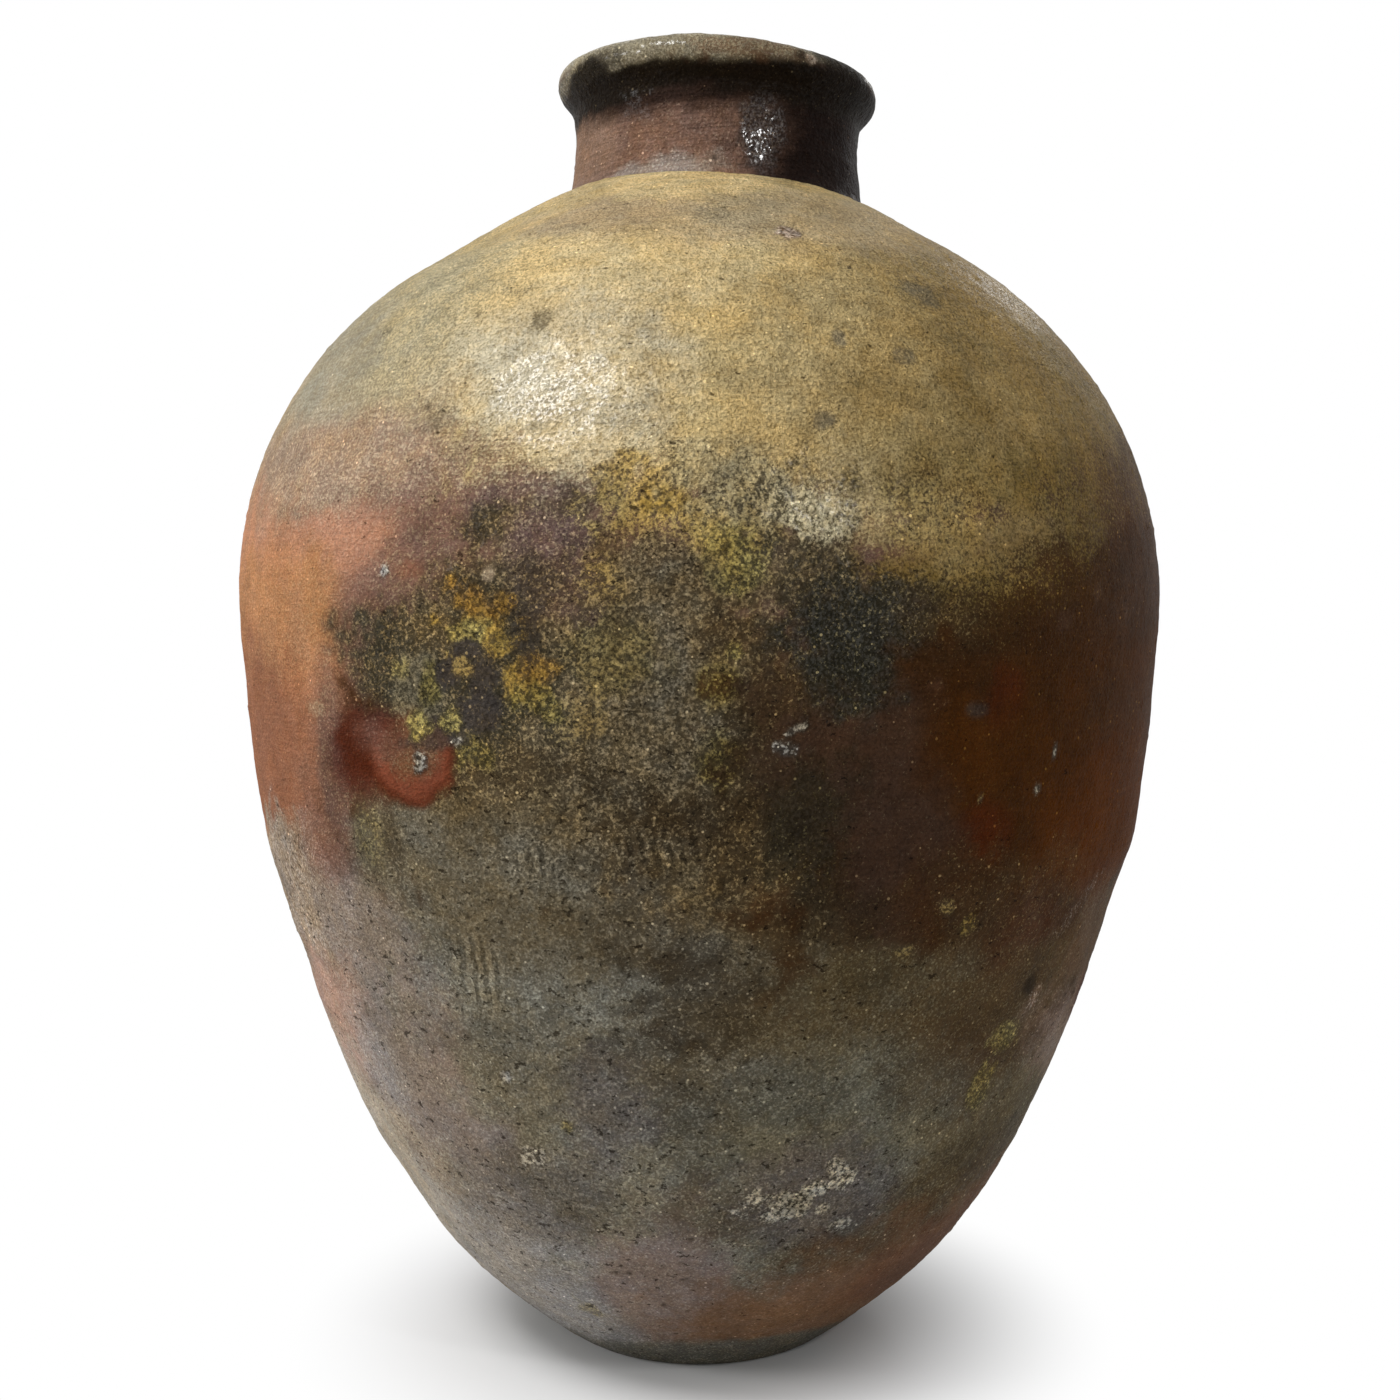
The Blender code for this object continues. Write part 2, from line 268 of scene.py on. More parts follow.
def dome_rows(curve, seam, end_ring, step):
    """Rings that drift from a seam round the body's axis to a ring of the neck.

    The angle and the distance along the outline both go evenly from the seam's to the end ring's, and
    the height takes up what little is left between the outline and that ring, most of it late.
    """
    end_radius = np.hypot(end_ring[:, 0], end_ring[:, 1])
    end_angle = np.arctan2(end_ring[:, 0], -end_ring[:, 1])
    end_angle = column_angle + (end_angle - column_angle + math.pi) % (2 * math.pi) - math.pi
    top = curve[:, 1] > BELLY_HEIGHT
    end_distance = np.interp(-end_radius, -curve[top, 0], outer_run[top])
    count = len(steps_between(seam, end_distance.mean(), step))
    share = np.linspace(0.0, 1.0, count)[:, None]
    distance = seam + share * (end_distance - seam)
    points = read_curve(curve, outer_run, distance)
    left_over = end_ring[:, 2] - read_curve(curve, outer_run, end_distance)[:, 1]
    angle = column_angle + share * (end_angle - column_angle)
    return ring(points[..., 0], points[..., 1] + share ** LATE_RISE * left_over, angle)


# %% The base's rounded edge, its underside and the floor
edge_turn = math.atan2(along[0, 1], along[0, 0])
edge_length = BASE_EDGE_RADIUS * math.tan(edge_turn / 2)
edge_angles = np.linspace(0.0, edge_turn, EDGE_POINTS)[:, None]
edge = ring(BASE_RADIUS - edge_length + BASE_EDGE_RADIUS * np.sin(edge_angles),
            BASE_EDGE_RADIUS * (1 - np.cos(edge_angles)))
underside = ring(steps_between(0.0, BASE_RADIUS - edge_length, UNDERSIDE_STEP)[:-1, None], 0.0)
base_wall = body_rows(outer, steps_between(edge_length, outer_seams[0], OUTER_STEP)[1:])
floor_radius = float(np.interp(FLOOR_THICKNESS, inner[:, 1], inner[:, 0]))
floor = ring(steps_between(floor_radius, 0.0, INNER_STEP)[:, None], FLOOR_THICKNESS)
floor_seam = body_rows(inner, np.array(inner_seams[:1]))


# %% The stretches in their order along the sheet
def neck_rows(curve, step):
    """Rings of the neck or the rim, evenly spaced along its curve."""
    run = run_length(curve)
    points = read_curve(curve, run, steps_between(0.0, run[-1], step))
    return neck_ring(points[:, :1], points[:, 1:])


stretches = [("base_disc", np.concatenate((underside, edge, base_wall)))]
for stage, start, end in zip(STAGES[1:-1], outer_seams, outer_seams[1:]):
    stretches.append((stage, body_rows(outer, steps_between(start, end, OUTER_STEP))))
stretches += [
    ("shoulder_dome", dome_rows(outer, outer_seams[-1], neck_ring(*neck_outside[0]), OUTER_STEP)),
    ("neck_collar", neck_rows(neck_outside, NECK_STEP)),
    ("rolled_rim", neck_rows(rim_outline, NECK_STEP)),
    ("neck_collar", neck_rows(neck_inside, 2 * NECK_STEP)),
    ("shoulder_dome", dome_rows(inner, inner_seams[-1], neck_ring(*neck_inside[-1]), INNER_STEP)[::-1]),
]
for stage, start, end in reversed(list(zip(STAGES[1:-1], inner_seams, inner_seams[1:]))):
    stretches.append((stage, body_rows(inner, steps_between(end, start, INNER_STEP))))
stretches.append(("base_disc", np.concatenate((floor_seam, floor))))

spans = {}
rows = [stretches[0][1][:1]]
last = 0
for name, points in stretches:
    rows.append(points[1:])
    spans.setdefault(name, []).append((last, last + len(points) - 1))
    last += len(points) - 1
sheet = np.concatenate(rows)
print("sheet:", sheet.shape[0], "rows of", sheet.shape[1], "points")
for name, parts in spans.items():
    print(" ", name, "rows", parts)


# %% Where each point lies on the sheet
def sheet_normals(points):
    """Unit normals: the way round crossed with the way along, from neighbours on the grid."""
    round_way = np.roll(points, -1, axis=1) - np.roll(points, 1, axis=1)
    along_way = np.gradient(points, axis=0)
    normals = np.cross(round_way, along_way)
    normals[0] = (0.0, 0.0, -1.0)
    normals[-1] = (0.0, 0.0, 1.0)
    return normals / np.linalg.norm(normals, axis=-1, keepdims=True)


normals = sheet_normals(sheet)
radius = np.hypot(sheet[..., 0], sheet[..., 1])
height = sheet[..., 2]
around = np.arctan2(sheet[..., 0], -sheet[..., 1])
up = np.zeros(sheet.shape[:2])
up[1:] = np.cumsum(np.linalg.norm(np.diff(sheet, axis=0), axis=-1), axis=0)
rim_top = spans["rolled_rim"][0][0] + int(np.argmax(height[slice(*spans["rolled_rim"][0]), 0]))
inside = np.arange(len(sheet))[:, None] > rim_top + 0 * around
print("the sheet measures", round(float(up[-1].mean()), 3), "m from pole to pole")

# %% [markdown]
# ## The camera
# The picture is square, 1400 pixels wide. The lens, the height and the small tilt come from fitting
# the jar's outline, and the same numbers tell where a point of the clay lands in the picture, so that
# a mark can be placed by the pixel at which it is seen.

# %% Camera
CAMERA_PLACE = np.array((0.0002, -0.7082, 0.2896))
CAMERA_TILT = math.radians(-2.97)
FOCAL_PIXELS = 1739.0
PICTURE_PIXELS = 1400
SENSOR_WIDTH = 36.0
NEAREST_VISIBLE = 0.01

camera_data = bpy.data.cameras.new("jar_camera")
camera_data.sensor_width = SENSOR_WIDTH
camera_data.lens = FOCAL_PIXELS * SENSOR_WIDTH / PICTURE_PIXELS
camera_data.clip_start = NEAREST_VISIBLE
camera = bpy.data.objects.new("jar_camera", camera_data)
camera.location = CAMERA_PLACE
camera.rotation_euler = (math.radians(90.0) + CAMERA_TILT, 0.0, 0.0)
bpy.context.scene.collection.objects.link(camera)
bpy.context.scene.camera = camera


def in_picture(points):
    """Pixel of each point: half the picture + focal length * sideways / depth, and the same upwards."""
    ray = points - CAMERA_PLACE
    depth = ray[..., 1] * math.cos(CAMERA_TILT) + ray[..., 2] * math.sin(CAMERA_TILT)
    rise = ray[..., 2] * math.cos(CAMERA_TILT) - ray[..., 1] * math.sin(CAMERA_TILT)
    middle = PICTURE_PIXELS / 2
    return np.stack((middle + FOCAL_PIXELS * ray[..., 0] / depth,
                     middle - FOCAL_PIXELS * rise / depth), axis=-1)


picture = in_picture(sheet)
facing = ((CAMERA_PLACE - sheet) * normals).sum(axis=-1) > 0
seen = facing & ~inside
print("outline in pixels:", picture[seen].min(axis=0).round(1), picture[seen].max(axis=0).round(1))

# %% [markdown]
# ## Uneven fields
# Clay, ash and flame are all uneven, each at its own scale. A lattice of random numbers, blended
# smoothly between its corners, gives a soft field in space. Several of them, each finer and
# fainter, give a natural one. Because the field is read at points in space and not on a flat map, it
# has no seam round the jar. Scattered points, one in each cell of a lattice, give grains and pits.

# %% Soft noise in space
LATTICE = 48
OCTAVE_FADE, NOISE_SPREAD = 0.55, 0.85
OCTAVE_TURN = np.array(((0.80, -0.36, 0.48), (0.60, 0.48, -0.64), (0.0, 0.80, 0.60)))


def lattice_noise(points, size, seed):
    """Random numbers from -1 to 1 on a lattice of cells, blended by t*t*(3 - 2*t) along each axis."""
    numbers = np.random.default_rng(seed).uniform(-1.0, 1.0, (LATTICE,) * 3).astype(np.float32)
    cell = points / size
    low = np.floor(cell).astype(np.int32)
    t = (cell - low).astype(np.float32)
    t = t * t * (3 - 2 * t)
    total = np.zeros(points.shape[:-1], dtype=np.float32)
    for corner in itertools.product((0, 1), repeat=3):
        weight = np.prod(np.where(corner, t, 1 - t), axis=-1)
        x, y, z = np.moveaxis((low + corner) % LATTICE, -1, 0)
        total += weight * numbers[x, y, z]
    return total


def noise(points, size, octaves, seed):
    """Lattice noise of halving size and strength, turned a little each time, scaled to about -1 to 1."""
    total = 0.0
    for octave in range(octaves):
        total = total + OCTAVE_FADE ** octave * lattice_noise(points, size / 2 ** octave, seed + octave)
        points = points @ OCTAVE_TURN
    return total / NOISE_SPREAD


# %% Scattered points in space
OUT_OF_REACH = 9.0


def scattered(points, size, seed):
    """Distance to the nearest of one random point per cell, in cells, and that point's random number."""
    numbers = np.random.default_rng(seed).uniform(0.0, 1.0, (LATTICE,) * 3 + (4,)).astype(np.float32)
    cell = points / size
    low = np.floor(cell).astype(np.int32)
    nearest = np.full(points.shape[:-1], OUT_OF_REACH, dtype=np.float32)
    chosen = np.zeros(points.shape[:-1], dtype=np.float32)
    for neighbour in itertools.product((-1, 0, 1), repeat=3):
        x, y, z = np.moveaxis((low + neighbour) % LATTICE, -1, 0)
        found = numbers[x, y, z]
        distance = np.linalg.norm(low + neighbour + found[..., :3] - cell, axis=-1)
        nearer = distance < nearest
        nearest = np.where(nearer, distance, nearest)
        chosen = np.where(nearer, found[..., 3], chosen)
    return nearest, chosen


# %% Smooth steps, and the three fields of this jar
def smooth(value, low, high):
    """Goes from 0 at low to 1 at high along t*t*(3 - 2*t)."""
    t = np.clip((value - low) / (high - low), 0.0, 1.0)
    return t * t * (3 - 2 * t)


# Size in metres, octaves and seed
COARSE, FINE, TINY = (0.026, 4, 11), (0.0065, 3, 23), (0.0027, 1, 29)
coarse_field, fine_field, tiny_field = (noise(sheet, *values) for values in (COARSE, FINE, TINY))
print("fields spread by", round(float(coarse_field.std()), 2), round(float(fine_field.std()), 2))

# %% [markdown]
# ## Spots seen in the picture
# A mark is given by the box in which the picture shows it: left, top, right and bottom in pixels.
# The box is carried to the clay, where it becomes an ellipse measured along the wall, so that the
# mark lies on the jar from any side. A box that reaches past the outline goes on round the back.

# %% From a pixel to the clay
BEYOND_EDGE = math.radians(0.25)
NEAR_PIXELS = 12.0
BELLY_PIXEL = (700, 600)
by_height = np.argsort(picture[seen][:, 1])
seen_pixels, seen_around, seen_up, seen_radius = (
    field[seen][by_height] for field in (picture, around, up, radius))


def on_clay(x, y):
    """Angle, distance up the wall and radius at the seen point nearest to a pixel."""
    low, high = np.searchsorted(seen_pixels[:, 1], (y - NEAR_PIXELS, y + NEAR_PIXELS))
    low, high = min(low, len(seen_pixels) - COLUMNS), max(high, COLUMNS)
    offset = (x, y) - seen_pixels[low:high]
    nearest = int(np.argmin((offset ** 2).sum(axis=1)))
    angle = seen_around[low + nearest] + BEYOND_EDGE * offset[nearest, 0]
    return angle, seen_up[low + nearest], seen_radius[low + nearest]


print("angle, distance and radius at the middle of the belly:", np.round(on_clay(*BELLY_PIXEL), 3))

# %% From a pixel box to a spot on the clay
SMALLEST_HALF, REACH = 0.0006, 1.8


def spot(box, lean=0.0, reach=REACH):
    """The rows round a spot, its distance field (1 on the ellipse) and its smaller half width."""
    left, top, right, bottom = box
    x, y = (left + right) / 2, (top + bottom) / 2
    size = on_clay(x, y)[2]
    left_angle, right_angle = on_clay(left, y)[0], on_clay(right, y)[0]
    low, high = on_clay(x, bottom)[1], on_clay(x, top)[1]
    wide = max((right_angle - left_angle) / 2 * size, SMALLEST_HALF)
    tall = max((high - low) / 2, SMALLEST_HALF)
    middle_up, middle_angle = (low + high) / 2, (left_angle + right_angle) / 2
    extent = reach * max(tall, wide * abs(math.sin(lean)))
    close = np.nonzero((abs(up - middle_up) < extent).any(axis=1))[0]
    rows = slice(close[0], close[-1] + 1) if len(close) else slice(0, 0)
    turned = (around[rows] - middle_angle + math.pi) % (2 * math.pi) - math.pi
    sideways, upwards = turned * radius[rows], up[rows] - middle_up
    across = sideways * math.cos(lean) - upwards * math.sin(lean)
    lengthwise = sideways * math.sin(lean) + upwards * math.cos(lean)
    return rows, np.hypot(across / wide, lengthwise / tall), min(wide, tall)

# %% [markdown]
# ## Relief in the clay
# The real jar is far from a lathe-turned form. The wall swells and dips where a hand pressed it, the
# stages meet in soft steps, wiping left fine ridges round the shoulder, and the lower wall was
# pared. Each of these is a height field in metres, and the sheet moves along its normals by their
# sum. Moving the points, and not only their shading, makes the outline and the shadows uneven too.

# %% Slow unevenness, ridges and the steps between stages
# Each kind has its height in metres, then the size, octaves and seed of its noise
SWELL, SWELL_NOISE = 0.0007, (0.105, 2, 41)
DIP, DIP_NOISE = 0.00028, (0.034, 3, 43)
RIDGE, RIDGE_NOISE, RIDGE_STRETCH = 0.00010, (0.0042, 2, 47), 0.07
RIDGE_LEAST, RIDGE_VARIES = 0.6, 0.4
STEP, STEP_WIDTH, STEP_LEAST, STEP_VARIES = 0.00035, 0.006, 0.7, 0.5
SEAM_WANDER, SEAM_SIZE, SEAM_SEED = 0.004, 0.07, 53

relief = SWELL * noise(sheet, *SWELL_NOISE) + DIP * noise(sheet, *DIP_NOISE)
lying = sheet * (RIDGE_STRETCH, RIDGE_STRETCH, 1.0)
relief += RIDGE * noise(lying, *RIDGE_NOISE) * (RIDGE_LEAST + RIDGE_VARIES * coarse_field)
wander = SEAM_WANDER * lattice_noise(sheet, SEAM_SIZE, SEAM_SEED)
for seam_run in outer_seams[1:4]:
    above = up - up[0].mean() - (BASE_RADIUS + seam_run)
    bank = np.exp(-((above + wander) / STEP_WIDTH) ** 2) * (STEP_LEAST + STEP_VARIES * coarse_field)
    relief += np.where(inside, 0.0, STEP * bank)
print("relief runs from", round(relief.min() * 1000, 2), "to", round(relief.max() * 1000, 2), "mm")

# %% Presses and swellings seen in the outline
# Box in the picture, height in mm outwards, lean in degrees
PRESSES = (
    ((400, 200, 540, 262), -3.4, -35),
    ((900, 195, 1010, 240), -2.6, 20),
    ((1095, 795, 1165, 865), 0.9, 0),
    ((1075, 870, 1135, 950), -1.0, 10),
    ((1035, 975, 1095, 1025), 0.7, 20),
    ((270, 935, 330, 990), -1.0, 0),
    ((370, 1150, 440, 1235), -2.2, -20),
    ((1016, 968, 1044, 1000), -0.7, 30),
    ((1050, 895, 1098, 965), 0.7, 35),
)
PRESS_REACH, PRESS_FALL = 3.0, 1.6
for box, press, lean in PRESSES:
    rows, away, _ = spot(box, math.radians(lean), reach=PRESS_REACH)
    relief[rows] += press / 1000 * np.exp(-PRESS_FALL * away ** 2)
print("relief with the presses, in mm:", np.round((relief.min() * 1000, relief.max() * 1000), 2))

# %% [markdown]
# ## What the kiln painted
# No glaze was brushed on. Ash flew in from the fire, stuck to the shoulder and melted there, and the
# flame turned the bare clay orange, red, plum or grey. So a finish is described by two colours: the
# clay's ground, and the ash lying on it in grains. Four more numbers say how much of the clay the ash
# covers, how glossy it is, how coarse the grains are, and how many dark pits there are.

# %% Finishes, as linear colours and shares
FINISHES = {
    # name: (ground colour, ash colour, ash cover, gloss, coarseness, pits)
    "straw ash": ((0.391, 0.278, 0.113), (0.630, 0.466, 0.216), 0.66, 0.56, 0.30, 0.18),
    "olive straw ash": ((0.308, 0.231, 0.124), (0.536, 0.415, 0.247), 0.66, 0.50, 0.25, 0.12),
    # Darker olive ash: partly its own colour, partly painted shade on the side away from the lamps
    "olive ash with painted shade": ((0.093, 0.055, 0.011), (0.209, 0.129, 0.027), 0.66, 0.56, 0.25, 0.20),
    # Pale straw ash with a painted highlight, for where the key lamp's highlight falls on the shoulder
    "straw ash with painted highlight": ((0.437, 0.339, 0.180), (0.713, 0.597, 0.384), 0.66, 0.80, 0.35, 0.10),
    "golden ash": ((0.503, 0.372, 0.166), (0.796, 0.612, 0.320), 0.66, 0.54, 0.25, 0.10),
    "tan ash": ((0.425, 0.307, 0.189), (0.590, 0.460, 0.299), 0.45, 0.40, 0.15, 0.10),
    "green grey ash": ((0.281, 0.286, 0.215), (0.396, 0.424, 0.351), 0.45, 0.35, 0.15, 0.10),
    "brown tan ash": ((0.360, 0.233, 0.153), (0.598, 0.440, 0.291), 0.45, 0.45, 0.25, 0.15),
    "salmon clay": ((0.551, 0.264, 0.154), (0.660, 0.356, 0.227), 0.35, 0.30, 0.15, 0.10),
    "gold salmon clay": ((0.486, 0.224, 0.090), (0.588, 0.316, 0.140), 0.40, 0.32, 0.15, 0.10),
    "red salmon clay": ((0.309, 0.124, 0.064), (0.371, 0.175, 0.093), 0.30, 0.28, 0.15, 0.10),
    "pink clay": ((0.275, 0.138, 0.094), (0.374, 0.220, 0.154), 0.35, 0.30, 0.20, 0.15),
    "mauve clay": ((0.210, 0.116, 0.085), (0.367, 0.253, 0.162), 0.35, 0.45, 0.20, 0.20),
    "plum clay": ((0.145, 0.086, 0.073), (0.397, 0.285, 0.201), 0.35, 0.52, 0.40, 0.25),
    "speckled black": ((0.050, 0.040, 0.021), (0.319, 0.229, 0.108), 0.34, 0.62, 0.45, 0.20),
    "slate": ((0.059, 0.047, 0.039), (0.230, 0.169, 0.094), 0.20, 0.55, 0.45, 0.20),
    "blue black": ((0.025, 0.022, 0.013), (0.290, 0.236, 0.122), 0.22, 0.70, 0.45, 0.10),
    # Crust with painted glints: a pale ash colour where the front right lamps' highlight falls
    "crust with painted glints": ((0.161, 0.127, 0.059), (0.759, 0.626, 0.366), 0.62, 0.92, 0.60, 0.20),
    "ochre crust": ((0.123, 0.090, 0.048), (0.492, 0.352, 0.128), 0.60, 0.50, 0.60, 0.30),
    "bright ochre crust": ((0.137, 0.094, 0.036), (0.456, 0.299, 0.072), 0.52, 0.50, 0.70, 0.25),
    "amber crust": ((0.114, 0.059, 0.017), (0.380, 0.204, 0.043), 0.52, 0.50, 0.70, 0.25),
    "grey gold crust": ((0.125, 0.105, 0.065), (0.520, 0.440, 0.260), 0.58, 0.58, 0.60, 0.20),
    "olive crust": ((0.069, 0.056, 0.023), (0.310, 0.241, 0.069), 0.50, 0.50, 0.75, 0.30),
    "lime crust": ((0.120, 0.096, 0.040), (0.520, 0.408, 0.129), 0.50, 0.50, 0.60, 0.25),
    "grey green crust": ((0.105, 0.086, 0.051), (0.277, 0.229, 0.139), 0.52, 0.50, 0.60, 0.25),
    "grained umber": ((0.117, 0.081, 0.040), (0.394, 0.285, 0.136), 0.42, 0.50, 0.55, 0.55),
    "grained grey": ((0.087, 0.069, 0.042), (0.296, 0.240, 0.152), 0.44, 0.50, 0.50, 0.50),
    "dark umber": ((0.039, 0.024, 0.011), (0.169, 0.115, 0.052), 0.25, 0.50, 0.45, 0.35),
    "umber": ((0.060, 0.023, 0.006), (0.158, 0.074, 0.018), 0.15, 0.50, 0.25, 0.15),
    "rust": ((0.080, 0.026, 0.004), (0.141, 0.067, 0.012), 0.12, 0.45, 0.20, 0.10),
    "blood red": ((0.093, 0.018, 0.005), (0.177, 0.049, 0.014), 0.10, 0.45, 0.20, 0.10),
    "amber clay": ((0.103, 0.028, 0.001), (0.153, 0.052, 0.003), 0.14, 0.45, 0.20, 0.10),
    "aubergine": ((0.066, 0.034, 0.020), (0.178, 0.117, 0.069), 0.12, 0.50, 0.25, 0.15),
    "green black": ((0.024, 0.019, 0.008), (0.133, 0.107, 0.042), 0.18, 0.55, 0.40, 0.20),
    "maroon": ((0.098, 0.029, 0.019), (0.148, 0.068, 0.043), 0.16, 0.35, 0.20, 0.10),
    "ember": ((0.225, 0.064, 0.033), (0.262, 0.102, 0.054), 0.20, 0.32, 0.15, 0.06),
    "burnt tan": ((0.189, 0.090, 0.046), (0.282, 0.180, 0.100), 0.35, 0.32, 0.20, 0.10),
    "olive grey": ((0.208, 0.186, 0.137), (0.397, 0.366, 0.279), 0.42, 0.35, 0.35, 0.60),
    "khaki grey": ((0.127, 0.096, 0.053), (0.237, 0.190, 0.117), 0.40, 0.38, 0.40, 0.55),
    "blue grey": ((0.184, 0.167, 0.116), (0.338, 0.308, 0.219), 0.42, 0.35, 0.30, 0.50),
    "purple grey": ((0.144, 0.123, 0.110), (0.286, 0.251, 0.219), 0.38, 0.35, 0.35, 0.52),
    "silver grey": ((0.367, 0.336, 0.312), (0.598, 0.562, 0.519), 0.42, 0.32, 0.20, 0.52),
    "mauve grey": ((0.296, 0.232, 0.189), (0.430, 0.354, 0.295), 0.42, 0.30, 0.20, 0.52),
    # Pale pared clay; low on the left it also carries a painted highlight
    "pale scraped clay and painted highlight": ((0.330, 0.242, 0.175), (0.614, 0.507, 0.404), 0.46, 0.35, 0.45, 0.60),
    "pale mauve": ((0.621, 0.508, 0.392), (0.789, 0.727, 0.577), 0.45, 0.30, 0.20, 0.52),
    "rose clay": ((0.539, 0.329, 0.250), (0.722, 0.515, 0.409), 0.36, 0.28, 0.15, 0.45),
    "brown clay": ((0.137, 0.101, 0.054), (0.266, 0.219, 0.124), 0.36, 0.38, 0.35, 0.40),
    "pink brown clay": ((0.270, 0.205, 0.174), (0.418, 0.349, 0.303), 0.34, 0.32, 0.25, 0.45),
    "orange brown clay": ((0.224, 0.126, 0.071), (0.325, 0.207, 0.131), 0.28, 0.32, 0.25, 0.25),
    "base black": ((0.145, 0.133, 0.102), (0.405, 0.370, 0.290), 0.30, 0.32, 0.25, 0.30),
    "neck brown": ((0.196, 0.112, 0.080), (0.330, 0.220, 0.158), 0.28, 0.50, 0.30, 0.15),
    "neck rose": ((0.256, 0.154, 0.102), (0.334, 0.216, 0.148), 0.30, 0.50, 0.20, 0.10),
    # Neck black: the dark right side of the neck, and a painted shadow under the lip
    "neck black and painted shadow": ((0.014, 0.007, 0.005), (0.056, 0.034, 0.022), 0.10, 0.50, 0.25, 0.10),
    "neck shine": ((0.034, 0.020, 0.015), (0.110, 0.080, 0.060), 0.40, 0.98, 0.55, 0.10),
    # A pale band where the neck meets the shoulder: a painted highlight on the fillet
    "painted highlight at the neck's foot": ((0.33, 0.270, 0.225), (0.48, 0.420, 0.360), 0.40, 0.40, 0.15, 0.10),
    "rim khaki": ((0.224, 0.188, 0.118), (0.355, 0.304, 0.199), 0.55, 0.76, 0.15, 0.15),
    # Rim black: black clay under the roll, and a painted shadow under the lip
    "rim black and painted shadow": ((0.011, 0.007, 0.004), (0.060, 0.046, 0.026), 0.12, 0.52, 0.20, 0.10),
    "chip": ((0.085, 0.074, 0.062), (0.62, 0.580, 0.510), 0.52, 0.35, 0.80, 0.40),
    "cream scar": ((0.116, 0.104, 0.083), (0.781, 0.720, 0.586), 0.53, 0.30, 0.80, 0.40),
    "rose chip": ((0.20, 0.125, 0.075), (0.74, 0.600, 0.510), 0.50, 0.40, 0.70, 0.20),
    "grey spot": ((0.185, 0.155, 0.100), (0.30, 0.260, 0.180), 0.40, 0.40, 0.30, 0.30),
    "pit": ((0.020, 0.016, 0.012), (0.06, 0.05, 0.04), 0.10, 0.30, 0.20, 0.10),
    "bare inside": ((0.115, 0.080, 0.058), (0.20, 0.15, 0.11), 0.30, 0.25, 0.30, 0.30),
}
CHANNELS = 10
GROUND, ASH = slice(0, 3), slice(3, 6)
COVER, COARSENESS, PITS = 6, 8, 9


def finish_values(name):
    """A finish as ten numbers: two colours, ash cover, gloss, coarseness and pits."""
    ground, ash, *shares = FINISHES[name]
    return np.array((*ground, *ash, *shares), dtype=np.float32)


# %% How a finish is laid over the paint
ASH_EARLY, FULL_TURN = 0.4, 0.25
paint = np.empty(sheet.shape[:2] + (CHANNELS,), dtype=np.float32)


def lay(name, mask, rows=slice(None)):
    """Blend a finish over the paint: paint + mask * (finish - paint).

    The ash colour blends by mask ** turn. Where the finish has more ash than what it covers, turn
    falls towards ASH_EARLY, so the new colour comes while its cover is still thin and the edge breaks
    up into grains. Where it has less ash, turn rises towards 1 / ASH_EARLY and the old colour stays on.
    """
    values = finish_values(name)
    more_ash = np.clip((values[COVER] - paint[rows][..., COVER]) / FULL_TURN, -1, 1)
    shares = np.repeat(mask[..., None].astype(np.float32), CHANNELS, axis=-1)
    shares[..., ASH] = (mask ** ASH_EARLY ** more_ash)[..., None]
    paint[rows] += shares * (values - paint[rows])


print(len(FINISHES), "finishes")

# %% [markdown]
# ## Ground coats, all round the jar
# First the finishes that belong to a height: ash where it could settle, browns on the belly, greys
# low down. Their edges wander with the coarse field. Then patches of flame colour come and go round
# the whole jar, so that the sides and the back have as much life as the front.

# %% Ground coats
BANDS = (
    # finish, height in metres at which it starts, width of its soft edge, how far the edge wanders
    ("brown clay", 0.030, 0.016, 0.010),
    ("olive grey", 0.052, 0.020, 0.012),
    ("khaki grey", 0.125, 0.030, 0.016),
    ("umber", 0.190, 0.030, 0.020),
    ("mauve clay", 0.300, 0.025, 0.018),
    ("straw ash", 0.335, 0.022, 0.014),
)
WANDER_GAIN = 1.4
paint[...] = finish_values("base black")
for name, start, width, wander in BANDS:
    level = height + wander * WANDER_GAIN * coarse_field
    lay(name, smooth(level, start - width / 2, start + width / 2))

# %% Patches of flame colour
# Finish, lowest and highest level, size, share of the clay that they take, seed
PATCHES = (
    ("amber clay", 0.150, 0.300, 0.110, 0.36, 101),
    ("salmon clay", 0.190, 0.310, 0.120, 0.26, 111),
    ("speckled black", 0.220, 0.340, 0.090, 0.34, 121),
    ("grained grey", 0.130, 0.290, 0.100, 0.36, 131),
    ("ochre crust", 0.230, 0.345, 0.050, 0.24, 141),
    ("aubergine", 0.120, 0.260, 0.100, 0.30, 151),
    ("olive straw ash", 0.360, 0.460, 0.080, 0.40, 161),
    ("golden ash", 0.350, 0.450, 0.070, 0.32, 171),
    ("blue grey", 0.050, 0.140, 0.070, 0.30, 181),
    ("mauve grey", 0.020, 0.120, 0.080, 0.34, 191),
    ("orange brown clay", 0.012, 0.060, 0.080, 0.36, 201),
)
PATCH_SQUASH, PATCH_OCTAVES, PATCH_ROUGHNESS = (1.0, 1.0, 1.3), 3, 0.25
PATCH_EDGE, PATCH_STRENGTH = 0.30, 0.85
BELT_EDGE, BELT_WANDER, BELT_FINE_SHARE = 0.022, 0.030, 0.5
FRONT_END, SIDE_START = 0.75, 1.35
UNDERSIDE_ROWS = 14
# Rows and columns at which the fields are sampled for their shares
SAMPLED = (slice(20, 450, 8), slice(None, None, 8))
